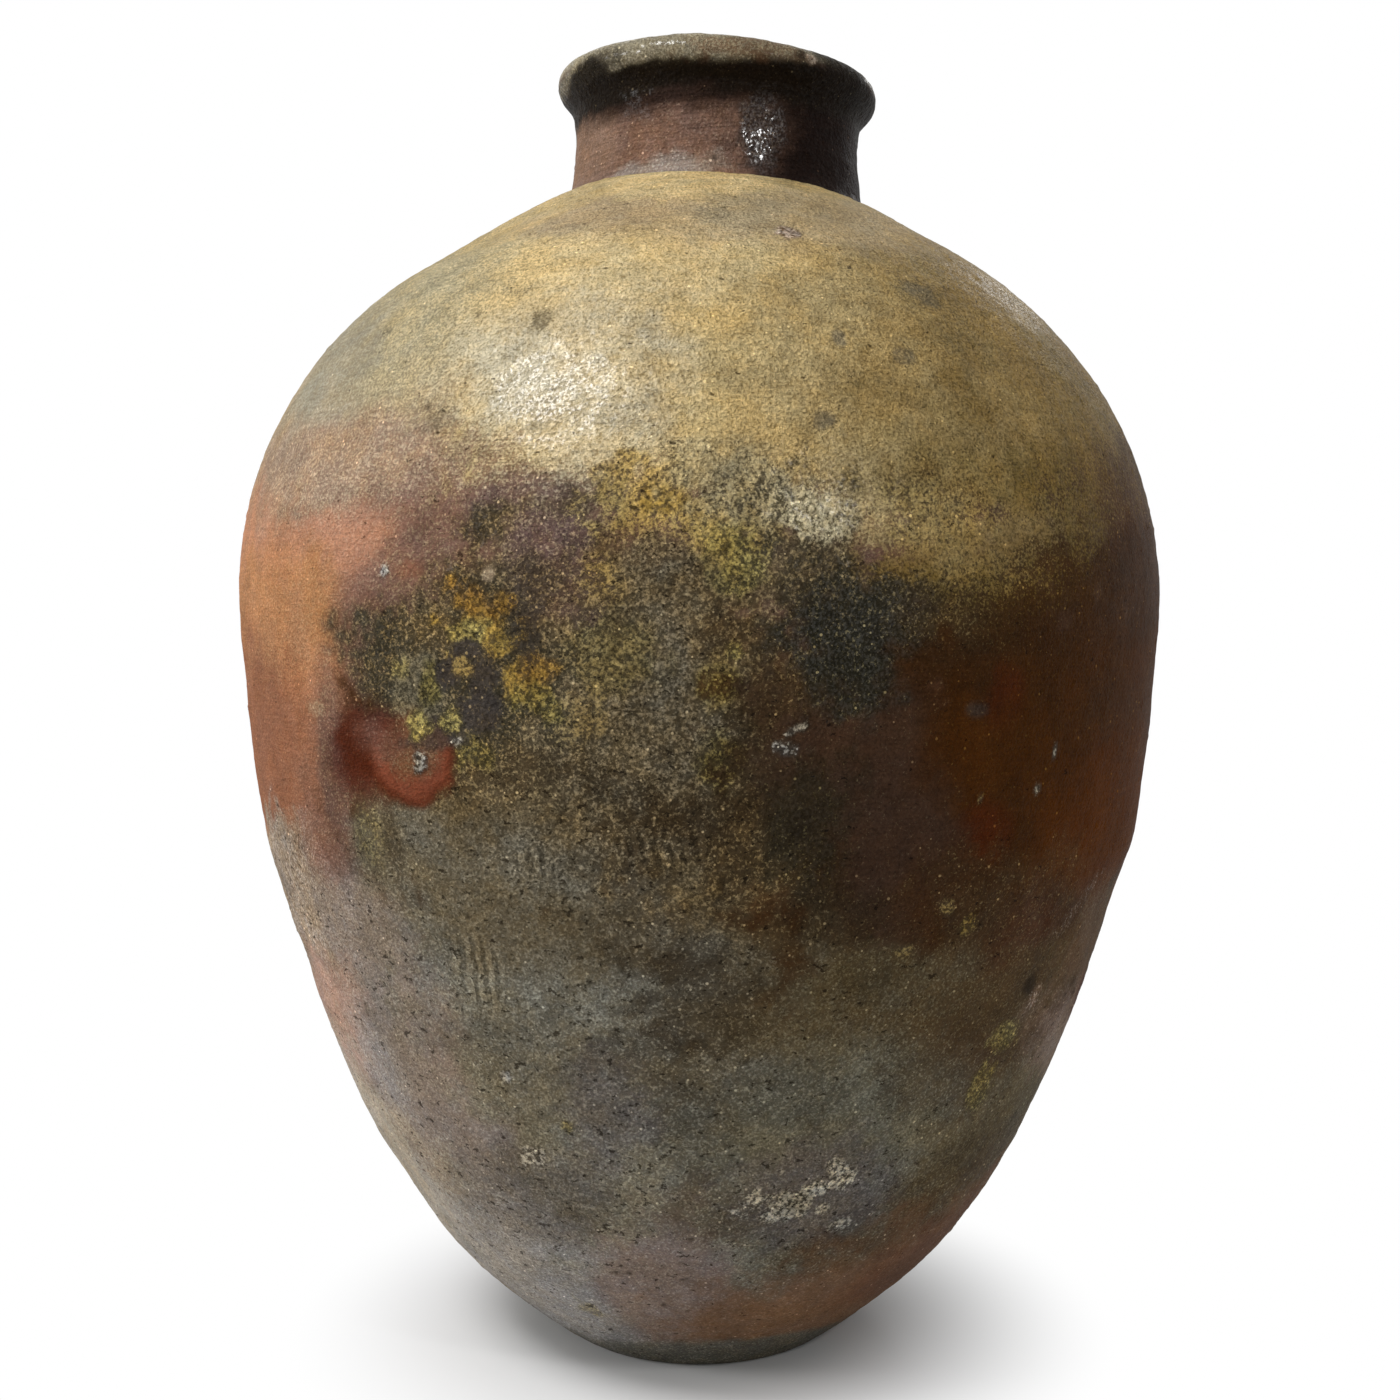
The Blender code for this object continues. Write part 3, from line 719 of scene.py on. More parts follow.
# The front is painted with listed dabs, so the patches stay off it
off_front = smooth(np.abs(around), FRONT_END, SIDE_START)
for name, low, high, size, share, seed in PATCHES:
    field = noise(sheet * PATCH_SQUASH, size, PATCH_OCTAVES, seed) + PATCH_ROUGHNESS * coarse_field
    limit = float(np.quantile(field[SAMPLED], 1 - share))
    level = height + BELT_WANDER * (coarse_field + BELT_FINE_SHARE * fine_field)
    belt = smooth(level, low - BELT_EDGE, low + BELT_EDGE)
    belt = belt * (1 - smooth(level, high - BELT_EDGE, high + BELT_EDGE))
    patch = smooth(field, limit - PATCH_EDGE, limit + PATCH_EDGE)
    lay(name, PATCH_STRENGTH * belt * patch * off_front)

lay("brown clay", np.ones_like(height[:UNDERSIDE_ROWS]), slice(UNDERSIDE_ROWS))
print("ground coats:", len(BANDS), "bands and", len(PATCHES), "kinds of patch")

# %% [markdown]
# ## The photographed side, dab by dab
# The side that faces the camera is painted over the ground coats, as a decorator would:
# wide soft areas first, then flames, crusts and streaks. Each dab is a finish, the pixel box in
# which it is seen, its lean in degrees to the right, how soft its edge is, how ragged, and how
# strong. The raggedness comes from the fields in space, so no two edges look alike.

# %% How a dab is laid
WIDE_DAB, SMALL_DAB = 0.020, 0.004
LESS_FINE, LESS_TINY = 0.5, 0.6
# Where a dab runs on past the outline, its end is torn up more
HIDDEN_RAGGED, HIDDEN_START, HIDDEN_FULL = 0.55, 1.25, 1.60
hidden = smooth(np.abs(around), HIDDEN_START, HIDDEN_FULL)


def dab(name, box, lean, edge, ragged, strength):
    """Lay a finish inside a spot, with its distance field roughened: smooth(1 + edge/2 .. 1 - edge/2)."""
    rows, away, half = spot(box, math.radians(lean))
    broad, small = min(half / WIDE_DAB, 1.0), min(half / SMALL_DAB, 1.0)
    rough = broad * coarse_field[rows] + small * (1 - LESS_FINE * broad) * fine_field[rows]
    rough = rough + (1 - LESS_TINY * small) * tiny_field[rows]
    rough = rough * (ragged + HIDDEN_RAGGED * hidden[rows])
    lay(name, strength * smooth(away + rough, 1 + edge / 2, 1 - edge / 2), rows)


# %% The shoulder's ash
# Finish, box in pixels (left, top, right, bottom), lean, edge, ragged, strength
SHOULDER = (
    ("straw ash", (420, 130, 1240, 520), 0, 0.5, 0.10, 1.0),
    ("straw ash", (780, 300, 1120, 580), 0, 0.6, 0.22, 1.0),
    # Olive ash on the right shoulder: partly its own colour, partly painted shade away from the lamps
    ("olive ash with painted shade", (880, 210, 1240, 560), -30, 0.9, 0.15, 0.65),
    ("olive ash with painted shade", (985, 340, 1240, 520), -20, 0.9, 0.20, 0.25),
    ("tan ash", (200, 300, 480, 520), 0, 0.7, 0.15, 1.0),
    ("golden ash", (420, 225, 760, 345), 0, 0.8, 0.25, 0.9),
    ("golden ash", (380, 300, 480, 400), 40, 0.8, 0.30, 0.3),
    ("green grey ash", (310, 225, 500, 420), 40, 1.0, 0.15, 0.55),
    ("olive straw ash", (540, 186, 880, 246), 0, 0.6, 0.15, 0.85),
    ("tan ash", (560, 190, 690, 240), 0, 0.8, 0.20, 0.6),
    ("golden ash", (612, 172, 770, 200), 0, 0.6, 0.30, 0.8),
    # More olive ash with painted shade, lower on the right
    ("olive ash with painted shade", (970, 450, 1150, 600), 0, 0.9, 0.20, 0.65),
    # Pale straw ash and a painted highlight, where the key lamp's highlight falls
    ("straw ash with painted highlight", (465, 285, 672, 488), 0, 0.9, 0.20, 1.0),
    ("straw ash with painted highlight", (570, 402, 668, 464), 0, 0.9, 0.30, 0.6),
    ("brown tan ash", (235, 420, 480, 530), 0, 0.8, 0.20, 1.0),
    ("brown tan ash", (380, 425, 520, 490), 0, 0.9, 0.35, 0.4),
    ("mauve clay", (395, 455, 540, 525), -8, 0.9, 0.35, 0.4),
    ("straw ash", (700, 400, 880, 470), 0, 0.9, 0.30, 0.3),
    ("ochre crust", (870, 440, 1070, 530), 0, 1.0, 0.30, 0.5),
    # Olive ash with painted shade, towards the right
    ("olive ash with painted shade", (855, 385, 1040, 530), 0, 1.0, 0.30, 0.45),
    ("umber", (865, 470, 1000, 545), 4, 0.9, 0.40, 0.28),
    ("grey gold crust", (640, 438, 800, 506), 10, 0.9, 0.40, 0.60),
    ("grey spot", (531, 308, 554, 334), 0, 0.7, 0.30, 0.8),
    ("grey spot", (500, 285, 530, 300), 0, 0.9, 0.40, 0.5),
    ("grey spot", (428, 408, 456, 434), 0, 0.8, 0.40, 0.45),
    ("grey spot", (700, 206, 730, 226), 0, 0.9, 0.30, 0.5),
    ("grey spot", (832, 330, 848, 347), 0, 0.7, 0.30, 0.8),
    ("grey spot", (905, 282, 932, 304), 0, 0.9, 0.30, 0.8),
    ("grey spot", (894, 348, 914, 366), 0, 0.9, 0.30, 0.7),
    ("grey spot", (812, 408, 838, 432), 0, 0.8, 0.40, 0.8),
    ("pit", (475, 312, 481, 318), 30, 0.8, 0.20, 0.5),
    ("pit", (383, 331, 391, 337), -30, 0.8, 0.20, 0.4),
    ("pit", (416, 406, 434, 411), 0, 0.6, 0.30, 0.7),
)
print("dabs for the shoulder:", len(SHOULDER))

# %% The left flank: bare clay that the flame turned orange
LEFT_FLANK = (
    ("mauve clay", (330, 500, 440, 700), 0, 0.8, 0.20, 0.8),
    ("salmon clay", (150, 508, 340, 850), 0, 0.55, 0.12, 1.0),
    ("salmon clay", (255, 515, 415, 605), -8, 0.7, 0.15, 0.9),
    ("gold salmon clay", (235, 560, 340, 700), 0, 0.9, 0.25, 0.7),
    ("gold salmon clay", (300, 560, 352, 640), 10, 0.9, 0.25, 0.6),
    ("red salmon clay", (150, 650, 345, 850), 0, 0.8, 0.20, 0.9),
    ("pink clay", (335, 560, 385, 690), 5, 0.9, 0.25, 0.8),
    ("mauve clay", (395, 490, 500, 600), 0, 0.9, 0.25, 1.0),
    ("mauve clay", (360, 545, 440, 605), 0, 0.9, 0.30, 0.8),
    ("plum clay", (470, 470, 600, 560), 0, 0.8, 0.35, 0.8),
    ("speckled black", (560, 492, 600, 520), 0, 0.8, 0.40, 0.6),
    ("speckled black", (455, 503, 515, 548), 0, 0.9, 0.40, 0.9),
    ("red salmon clay", (395, 560, 422, 580), 0, 0.9, 0.30, 0.5),
)
print("dabs for the left flank:", len(LEFT_FLANK))

# %% The ring, its crusts and the crescent
RING = (
    ("speckled black", (345, 576, 560, 770), 0, 0.45, 0.22, 1.0),
    ("plum clay", (505, 520, 600, 620), 0, 0.8, 0.35, 0.9),
    ("speckled black", (440, 560, 600, 620), -10, 0.9, 0.40, 0.7),
    ("grained umber", (400, 590, 470, 650), 0, 0.9, 0.40, 0.5),
    ("mauve clay", (316, 665, 346, 850), 3, 0.8, 0.20, 0.8),
    ("aubergine", (320, 740, 342, 840), 3, 0.9, 0.20, 0.35),
    ("maroon", (328, 700, 400, 800), -6, 0.8, 0.20, 0.85),
    ("blood red", (338, 712, 376, 782), -15, 0.8, 0.25, 0.9),
    ("grey green crust", (388, 655, 440, 730), 5, 0.6, 0.30, 0.9),
    ("lime crust", (388, 660, 408, 682), 0, 0.7, 0.70, 0.6),
    ("bright ochre crust", (446, 592, 514, 640), 10, 0.5, 0.85, 0.95),
    ("amber crust", (446, 588, 514, 622), 10, 0.7, 0.60, 0.7),
    ("lime crust", (452, 616, 490, 643), -10, 0.6, 0.80, 0.9),
    ("bright ochre crust", (484, 632, 508, 658), -15, 0.5, 0.80, 0.95),
    ("bright ochre crust", (502, 655, 548, 698), 0, 0.5, 0.85, 1.0),
    ("amber crust", (520, 655, 552, 685), 0, 0.7, 0.60, 0.6),
    ("olive crust", (520, 690, 560, 720), 0, 0.9, 0.80, 0.7),
    ("olive crust", (418, 665, 440, 705), 10, 0.7, 0.40, 0.9),
    ("slate", (452, 638, 482, 660), 0, 0.5, 0.35, 0.95),
    ("slate", (435, 662, 460, 692), 0, 0.6, 0.35, 0.95),
    ("slate", (470, 655, 502, 692), 0, 0.6, 0.35, 0.9),
    ("slate", (460, 692, 500, 735), 0, 0.7, 0.35, 0.95),
    ("slate", (508, 590, 545, 660), 0, 0.8, 0.35, 0.6),
    ("ochre crust", (453, 661, 469, 681), 0, 0.6, 0.60, 0.9),
    ("olive crust", (450, 734, 488, 778), 0, 0.8, 0.60, 0.6),
    ("blood red", (364, 716, 455, 804), 0, 0.30, 0.10, 0.95),
    ("ember", (372, 722, 451, 799), 0, 0.45, 0.08, 1.0),
    ("burnt tan", (384, 712, 438, 776), 10, 0.7, 0.20, 0.9),
    ("maroon", (366, 706, 404, 756), 20, 0.9, 0.20, 0.6),
    ("pink clay", (352, 722, 396, 756), 20, 0.9, 0.25, 0.3),
    ("slate", (408, 718, 468, 750), -10, 0.6, 0.40, 0.75),
    ("lime crust", (404, 712, 428, 738), 0, 0.6, 0.50, 0.9),
    ("lime crust", (440, 712, 461, 736), 0, 0.5, 0.35, 0.9),
    ("chip", (413, 753, 425, 770), 20, 0.5, 0.50, 0.9),
    ("chip", (450, 738, 461, 748), 0, 0.6, 0.40, 0.6),
    ("chip", (380, 566, 388, 577), 10, 0.6, 0.30, 0.9),
    ("tan ash", (480, 566, 494, 582), -20, 0.6, 0.40, 0.8),
    ("tan ash", (308, 700, 322, 716), 0, 0.9, 0.30, 0.4),
)
print("dabs for the ring:", len(RING))

# %% Streaks under the ring
STREAKS = (
    ("khaki grey", (352, 795, 460, 900), 0, 0.8, 0.25, 0.8),
    ("aubergine", (330, 800, 352, 872), -6, 0.9, 0.20, 0.25),
    ("olive grey", (345, 800, 440, 885), 0, 0.9, 0.25, 0.45),
    ("olive crust", (356, 800, 384, 870), -4, 0.9, 0.20, 0.35),
    ("dark umber", (385, 808, 403, 885), -3, 0.8, 0.20, 0.45),
    ("pink clay", (300, 800, 345, 880), 0, 0.9, 0.20, 0.7),
)
print("dabs for the streaks:", len(STREAKS))

# %% The middle field of grains
MIDDLE = (
    ("grained umber", (360, 540, 860, 960), 0, 0.4, 0.15, 1.0),
    ("grained umber", (700, 500, 900, 640), 0, 0.7, 0.30, 0.9),
    ("grained umber", (520, 500, 800, 700), 0, 0.7, 0.25, 1.0),
    ("grained grey", (535, 590, 770, 880), 0, 0.7, 0.25, 1.0),
    ("grained umber", (440, 740, 560, 850), 0, 0.9, 0.30, 0.8),
    ("khaki grey", (420, 790, 620, 930), 0, 0.9, 0.30, 0.8),
    ("ochre crust", (590, 478, 720, 548), -5, 0.7, 0.70, 0.90),
    ("bright ochre crust", (640, 486, 698, 514), 0, 0.7, 0.80, 0.9),
    ("ochre crust", (680, 508, 750, 560), 15, 0.7, 0.70, 0.9),
    ("lime crust", (700, 522, 778, 600), 10, 0.8, 0.70, 0.9),
    ("grey gold crust", (685, 462, 790, 520), 8, 0.9, 0.60, 0.8),
    ("slate", (742, 535, 790, 562), 0, 0.8, 0.40, 0.4),
    ("ochre crust", (552, 555, 620, 600), 0, 0.9, 0.45, 0.75),
    ("slate", (560, 602, 600, 622), 0, 0.9, 0.40, 0.45),
    ("mauve clay", (610, 520, 690, 570), 0, 0.9, 0.40, 0.5),
    ("grained grey", (612, 538, 705, 592), 0, 0.9, 0.35, 0.8),
    ("grained grey", (650, 565, 720, 630), 0, 0.9, 0.35, 0.45),
    ("ochre crust", (742, 500, 800, 542), 0, 0.9, 0.50, 0.4),
    ("olive crust", (560, 620, 660, 690), 0, 0.9, 0.40, 0.45),
    ("ochre crust", (545, 690, 605, 745), 0, 0.9, 0.60, 0.40),
    ("olive crust", (700, 655, 742, 712), 10, 0.9, 0.35, 0.8),
    ("amber clay", (702, 664, 735, 704), 10, 0.9, 0.45, 0.30),
    ("lime crust", (728, 640, 746, 660), 0, 0.7, 0.35, 0.9),
    ("olive crust", (700, 740, 745, 790), 0, 0.9, 0.40, 0.8),
    ("dark umber", (590, 785, 765, 850), 0, 1.0, 0.45, 0.75),
    ("dark umber", (700, 820, 765, 905), 0, 0.9, 0.40, 0.5),
    ("dark umber", (545, 840, 640, 905), 0, 0.9, 0.40, 0.3),
    ("dark umber", (400, 738, 600, 800), 0, 0.9, 0.45, 0.45),
    ("dark umber", (690, 598, 762, 660), 0, 0.9, 0.40, 0.6),
    ("blue grey", (640, 862, 700, 905), 0, 0.9, 0.30, 0.25),
    ("grained grey", (480, 830, 610, 900), 0, 0.9, 0.35, 0.6),
    ("dark umber", (600, 850, 680, 905), 0, 0.9, 0.40, 0.60),
)
print("dabs for the middle field:", len(MIDDLE))

# %% The right flank
RIGHT_FLANK = (
    ("umber", (840, 570, 1260, 910), 0, 0.7, 0.20, 1.0),
    # Olive ash on the right flank's top: partly its own colour, partly painted shade
    ("olive ash with painted shade", (830, 520, 1085, 612), 0, 1.0, 0.45, 0.9),
    ("olive straw ash", (870, 505, 1050, 570), 0, 1.0, 0.45, 0.25),
    ("ochre crust", (920, 550, 1060, 595), 0, 1.0, 0.45, 0.45),
    ("mauve clay", (1070, 440, 1180, 560), 0, 0.9, 0.25, 0.45),
    ("dark umber", (725, 650, 800, 860), 0, 0.9, 0.25, 0.75),
    ("aubergine", (765, 670, 950, 870), 0, 0.8, 0.15, 1.0),
    ("blue black", (752, 556, 900, 700), 0, 1.0, 0.45, 1.0),
    ("blue black", (850, 570, 950, 625), 5, 0.8, 0.40, 0.45),
    ("speckled black", (770, 475, 880, 560), 0, 0.9, 0.50, 0.5),
    # Painted glints on the crust, where the front right lamps' highlight falls
    ("crust with painted glints", (782, 488, 860, 545), 8, 0.9, 0.40, 0.9),
    ("speckled black", (755, 556, 880, 612), 0, 1.0, 0.45, 0.25),
    ("speckled black", (765, 538, 862, 586), 0, 1.0, 0.45, 0.45),
    ("dark umber", (880, 590, 985, 670), 0, 1.0, 0.40, 0.25),
    ("dark umber", (960, 600, 1060, 660), 0, 0.9, 0.40, 0.4),
    ("grained umber", (900, 580, 1000, 630), 0, 1.0, 0.45, 0.25),
    ("umber", (1085, 525, 1200, 660), 0, 0.9, 0.25, 0.9),
    ("mauve clay", (960, 505, 1010, 530), 0, 0.9, 0.40, 0.6),
    ("rust", (915, 690, 985, 870), 0, 0.9, 0.20, 0.8),
    ("blood red", (955, 800, 1010, 870), 0, 0.9, 0.20, 0.9),
    ("blood red", (985, 665, 1025, 730), 0, 0.9, 0.20, 0.8),
    ("rust", (980, 700, 1070, 800), 0, 0.9, 0.20, 0.7),
    ("amber clay", (1035, 735, 1150, 890), 0, 0.7, 0.15, 1.0),
    ("rust", (1090, 600, 1200, 760), 0, 0.9, 0.20, 0.7),
    ("green black", (748, 765, 865, 895), 0, 1.0, 0.40, 0.75),
    ("aubergine", (850, 780, 960, 960), 0, 0.8, 0.20, 0.9),
    ("slate", (966, 700, 988, 718), 0, 0.8, 0.30, 0.7),
    ("ochre crust", (850, 492, 1015, 560), 8, 0.9, 0.50, 0.6),
    ("green black", (800, 650, 885, 715), 0, 0.9, 0.25, 0.35),
    ("aubergine", (745, 655, 800, 725), 0, 0.9, 0.30, 0.40),
    ("rust", (975, 590, 1080, 940), -2, 0.9, 0.20, 0.35),
    ("umber", (1000, 545, 1200, 640), 0, 0.9, 0.25, 0.6),
    ("umber", (1040, 440, 1220, 560), -20, 1.2, 0.30, 0.45),
    ("umber", (900, 860, 1010, 960), 0, 0.9, 0.25, 0.8),
    ("maroon", (985, 890, 1050, 1000), 0, 0.9, 0.20, 0.60),
    ("grained umber", (930, 870, 1060, 1010), 10, 0.9, 0.35, 0.3),
    ("chip", (784, 725, 807, 736), -25, 0.6, 0.50, 0.75),
    ("chip", (772, 742, 786, 754), 40, 0.6, 0.50, 0.7),
    ("chip", (786, 744, 800, 753), 10, 0.6, 0.60, 0.6),
)
print("dabs for the right flank:", len(RIGHT_FLANK))

# %% The pared lower wall
LOWER = (
    ("olive grey", (380, 880, 760, 1200), 0, 0.6, 0.15, 1.0),
    ("khaki grey", (430, 880, 640, 990), 0, 0.9, 0.25, 0.8),
    ("khaki grey", (440, 1000, 620, 1135), 0, 0.9, 0.30, 0.4),
    ("brown clay", (740, 956, 1000, 1066), 0, 0.6, 0.20, 1.0),
    ("umber", (900, 930, 1110, 1070), 0, 0.9, 0.20, 0.7),
    ("khaki grey", (830, 975, 940, 1040), 0, 0.9, 0.30, 0.4),
    ("blue grey", (700, 1050, 960, 1190), 0, 0.8, 0.15, 1.0),
    ("brown clay", (930, 1040, 1100, 1220), 0, 0.8, 0.20, 0.9),
    ("umber", (890, 1020, 1010, 1120), 0, 0.9, 0.30, 0.4),
    ("green black", (840, 950, 890, 990), 0, 0.9, 0.20, 0.2),
    ("dark umber", (590, 1015, 700, 1115), 0, 0.9, 0.40, 0.45),
    ("dark umber", (620, 960, 780, 1060), 0, 0.9, 0.40, 0.65),
    ("dark umber", (650, 1050, 760, 1160), 0, 0.9, 0.40, 0.35),
    ("mauve grey", (320, 960, 470, 1220), -20, 0.8, 0.20, 1.0),
    ("pink brown clay", (400, 940, 460, 1080), -10, 0.9, 0.20, 0.4),
    # Pale scraped clay and a painted highlight, where the left lamp's highlight falls low on the left
    ("pale scraped clay and painted highlight", (240, 832, 350, 965), -14, 0.35, 0.25, 1.0),
    ("pale scraped clay and painted highlight", (262, 826, 335, 885), -14, 0.7, 0.25, 0.6),
    ("pale scraped clay and painted highlight", (296, 945, 345, 980), -20, 0.8, 0.25, 0.7),
    ("mauve grey", (320, 860, 400, 980), -10, 0.9, 0.25, 0.7),
    ("rose clay", (300, 965, 372, 1095), -18, 0.8, 0.20, 0.95),
    ("rose clay", (350, 1110, 400, 1180), -20, 0.9, 0.20, 0.5),
    ("silver grey", (365, 1020, 405, 1110), -15, 0.9, 0.25, 0.6),
    ("mauve grey", (380, 1100, 520, 1290), -25, 0.8, 0.20, 1.0),
    ("pale mauve", (345, 1080, 470, 1300), -32, 0.9, 0.20, 0.75),
    ("purple grey", (560, 1055, 650, 1165), 0, 0.9, 0.30, 0.7),
    ("purple grey", (500, 1150, 620, 1230), 0, 0.9, 0.25, 0.6),
    ("silver grey", (490, 1215, 640, 1335), 0, 0.8, 0.20, 0.85),
    ("khaki grey", (450, 1165, 610, 1240), 0, 0.9, 0.25, 0.4),
    ("pink brown clay", (600, 1215, 740, 1350), 0, 0.8, 0.20, 1.0),
    ("dark umber", (660, 1180, 750, 1240), 0, 0.9, 0.30, 0.4),
    ("purple grey", (735, 1135, 885, 1250), 0, 0.7, 0.20, 0.9),
    ("dark umber", (760, 1060, 860, 1140), 0, 0.9, 0.40, 0.30),
    ("dark umber", (850, 1160, 990, 1230), -20, 0.9, 0.30, 0.40),
    ("dark umber", (715, 1195, 775, 1245), 0, 0.9, 0.30, 0.35),
    ("brown clay", (930, 930, 1085, 1030), -8, 0.9, 0.25, 0.40),
    ("dark umber", (590, 895, 700, 990), 0, 0.9, 0.40, 0.40),
    ("dark umber", (765, 893, 885, 952), 0, 0.9, 0.30, 0.55),
    ("orange brown clay", (685, 1255, 900, 1345), -10, 0.7, 0.20, 1.0),
    ("orange brown clay", (850, 1215, 985, 1300), -30, 0.8, 0.20, 1.0),
    ("maroon", (870, 1225, 960, 1280), -30, 0.9, 0.20, 0.45),
    ("green black", (770, 1235, 880, 1275), 0, 0.9, 0.20, 0.35),
    ("umber", (890, 1175, 985, 1225), -30, 0.9, 0.30, 0.3),
    ("base black", (560, 1340, 930, 1400), 0, 0.5, 0.10, 0.95),
    ("rose clay", (1030, 1000, 1100, 1070), 25, 0.9, 0.30, 0.35),
    ("mauve grey", (1042, 998, 1085, 1060), 25, 0.8, 0.30, 0.4),
    ("burnt tan", (1055, 900, 1098, 985), 30, 0.9, 0.35, 0.45),
    ("rose chip", (1060, 896, 1092, 912), -38, 0.8, 0.60, 0.25),
    ("pit", (1024, 976, 1036, 996), 30, 0.7, 0.30, 0.7),
    ("rose chip", (1030, 986, 1038, 1006), 35, 0.7, 0.40, 0.4),
    ("maroon", (1072, 980, 1082, 1020), 25, 0.7, 0.30, 0.6),
    ("lime crust", (992, 1024, 1016, 1052), 20, 0.7, 0.50, 0.6),
    ("lime crust", (976, 1068, 994, 1102), 10, 0.7, 0.50, 0.55),
)
print("dabs for the lower wall:", len(LOWER))

# %% Scars, chips and loose crumbs
SCARS = (
    ("cream scar", (762, 1180, 806, 1224), 20, 0.5, 0.80, 1.0),
    ("cream scar", (790, 1172, 826, 1202), 50, 0.5, 0.70, 1.0),
    ("cream scar", (828, 1160, 856, 1184), 50, 0.5, 0.65, 1.0),
    ("cream scar", (832, 1220, 850, 1231), 0, 0.6, 0.50, 0.7),
    ("cream scar", (736, 1193, 764, 1216), 0, 0.8, 0.80, 0.4),
    ("cream scar", (815, 1204, 828, 1213), 30, 0.6, 0.50, 0.7),
    ("chip", (520, 1146, 548, 1167), -40, 0.5, 0.60, 0.75),
    ("chip", (500, 1070, 510, 1082), 20, 0.6, 0.40, 0.7),
    ("lime crust", (560, 1122, 574, 1134), 0, 0.7, 0.50, 0.5),
    ("lime crust", (580, 1300, 598, 1318), -30, 0.7, 0.50, 0.4),
    ("rose chip", (776, 229, 802, 241), 5, 0.5, 0.50, 0.95),
    ("bright ochre crust", (958, 914, 974, 932), 0, 0.7, 0.40, 0.6),
    ("ochre crust", (940, 900, 952, 916), 0, 0.7, 0.40, 0.6),
    ("ochre crust", (896, 944, 914, 956), 0, 0.7, 0.40, 0.6),
    ("cream scar", (1050, 742, 1055, 758), 10, 0.6, 0.20, 0.7),
    ("cream scar", (1032, 782, 1038, 794), 0, 0.6, 0.20, 0.7),
    ("ochre crust", (977, 793, 982, 803), 0, 0.6, 0.20, 0.7),
)
print("dabs for scars and chips:", len(SCARS))

# %% Neck and rim
NECK = (
    ("neck rose", (560, 90, 625, 185), 0, 0.8, 0.15, 0.9),
    ("neck brown", (640, 60, 780, 170), 0, 0.8, 0.20, 0.8),
    # Neck black on the neck's right side, then across its top as a painted shadow under the lip
    ("neck black and painted shadow", (760, 40, 960, 260), 0, 0.6, 0.10, 1.0),
    ("neck black and painted shadow", (570, 56, 850, 104), 3, 0.9, 0.15, 0.9),
    ("neck shine", (744, 92, 786, 160), 8, 0.8, 0.40, 0.9),
    # Painted highlight along the neck's foot
    ("painted highlight at the neck's foot", (612, 158, 728, 177), -1, 0.8, 0.25, 0.75),
    ("rim khaki", (560, 30, 850, 62), 2, 0.6, 0.15, 0.9),
    # Rim black under the roll: black clay, and a painted shadow under the lip
    ("rim black and painted shadow", (690, 62, 900, 104), 8, 0.7, 0.25, 0.9),
    ("rim black and painted shadow", (535, 73, 640, 118), -16, 0.5, 0.12, 0.95),
    ("rim black and painted shadow", (580, 61, 730, 94), -2, 0.5, 0.15, 0.95),
    ("rim black and painted shadow", (586, 68, 668, 100), -4, 0.5, 0.10, 0.95),
    ("rim black and painted shadow", (802, 56, 900, 112), 25, 0.7, 0.25, 0.9),
    ("burnt tan", (700, 36, 806, 58), 4, 0.9, 0.40, 0.5),
    ("pale scraped clay and painted highlight", (811, 54, 822, 66), 20, 0.5, 0.30, 0.9),
    ("pit", (802, 50, 812, 60), 0, 0.6, 0.30, 0.7),
    ("pit", (713, 155, 719, 161), 0, 0.6, 0.20, 0.6),
)
print("dabs for the neck and the rim:", len(NECK))

# %% Lay the body's dabs, the ring over the streaks
BODY = (*SHOULDER, *LEFT_FLANK, *MIDDLE, *RIGHT_FLANK, *LOWER, *STREAKS, *RING, *SCARS)
for touch in BODY:
    dab(*touch)
print("dabs on the body:", len(BODY))

# %% Coats of the neck and the lip, with a painted shadow under the lip, over whatever the body's dabs left there
# Rows of the sheet, then how far a normal points up (-1 to 1) where a coat starts and is full,
# and where the painted shadow under the lip is full and where it ends
ROWS_INTO_MOUTH, ROWS_BELOW_JOINT, ROWS_OF_LIP_SHADOW = 20, 10, 34
KHAKI_START, KHAKI_FULL = -0.25, 0.35
LIP_SHADOW_FULL, LIP_SHADOW_END, LIP_SHADOW_RAGGED = -0.3, 0.2, 0.05

neck_start, rim_start = spans["neck_collar"][0][0], spans["rolled_rim"][0][0]
mouth = rim_top + ROWS_INTO_MOUTH
lay("neck brown", np.ones_like(height[neck_start:]), slice(neck_start, None))
lay("rim khaki", smooth(normals[rim_start:mouth, :, 2], KHAKI_START, KHAKI_FULL), slice(rim_start, mouth))
# Painted shadow under the lip: black laid where the normals face down, under the roll and at the top of the
# neck
under_rim = slice(rim_start - ROWS_BELOW_JOINT, rim_start + ROWS_OF_LIP_SHADOW)
upward = normals[under_rim][..., 2] + LIP_SHADOW_RAGGED * fine_field[under_rim]
lay("rim black and painted shadow", 1 - smooth(upward, LIP_SHADOW_FULL, LIP_SHADOW_END), under_rim)
lay("bare inside", np.ones_like(height[mouth:]), slice(mouth, None))
# The neck's dabs reach past it in the picture, so the shoulder's rows are put back afterwards
shoulder_paint = paint[:neck_start].copy()
for touch in NECK:
    dab(*touch)
paint[:neck_start] = shoulder_paint
print("neck, lip and mouth painted over", len(paint) - neck_start, "rows")

# %% [markdown]
# ## Crust, grains and pits in the round
# Where the ash lies thick it stands proud of the clay in a rough crust, and where the clay is grainy
# it has small pits. The paint already says where that is, so the same numbers drive the relief.
# Anything finer than the grid's 1.3 mm is left to the shader's bump.

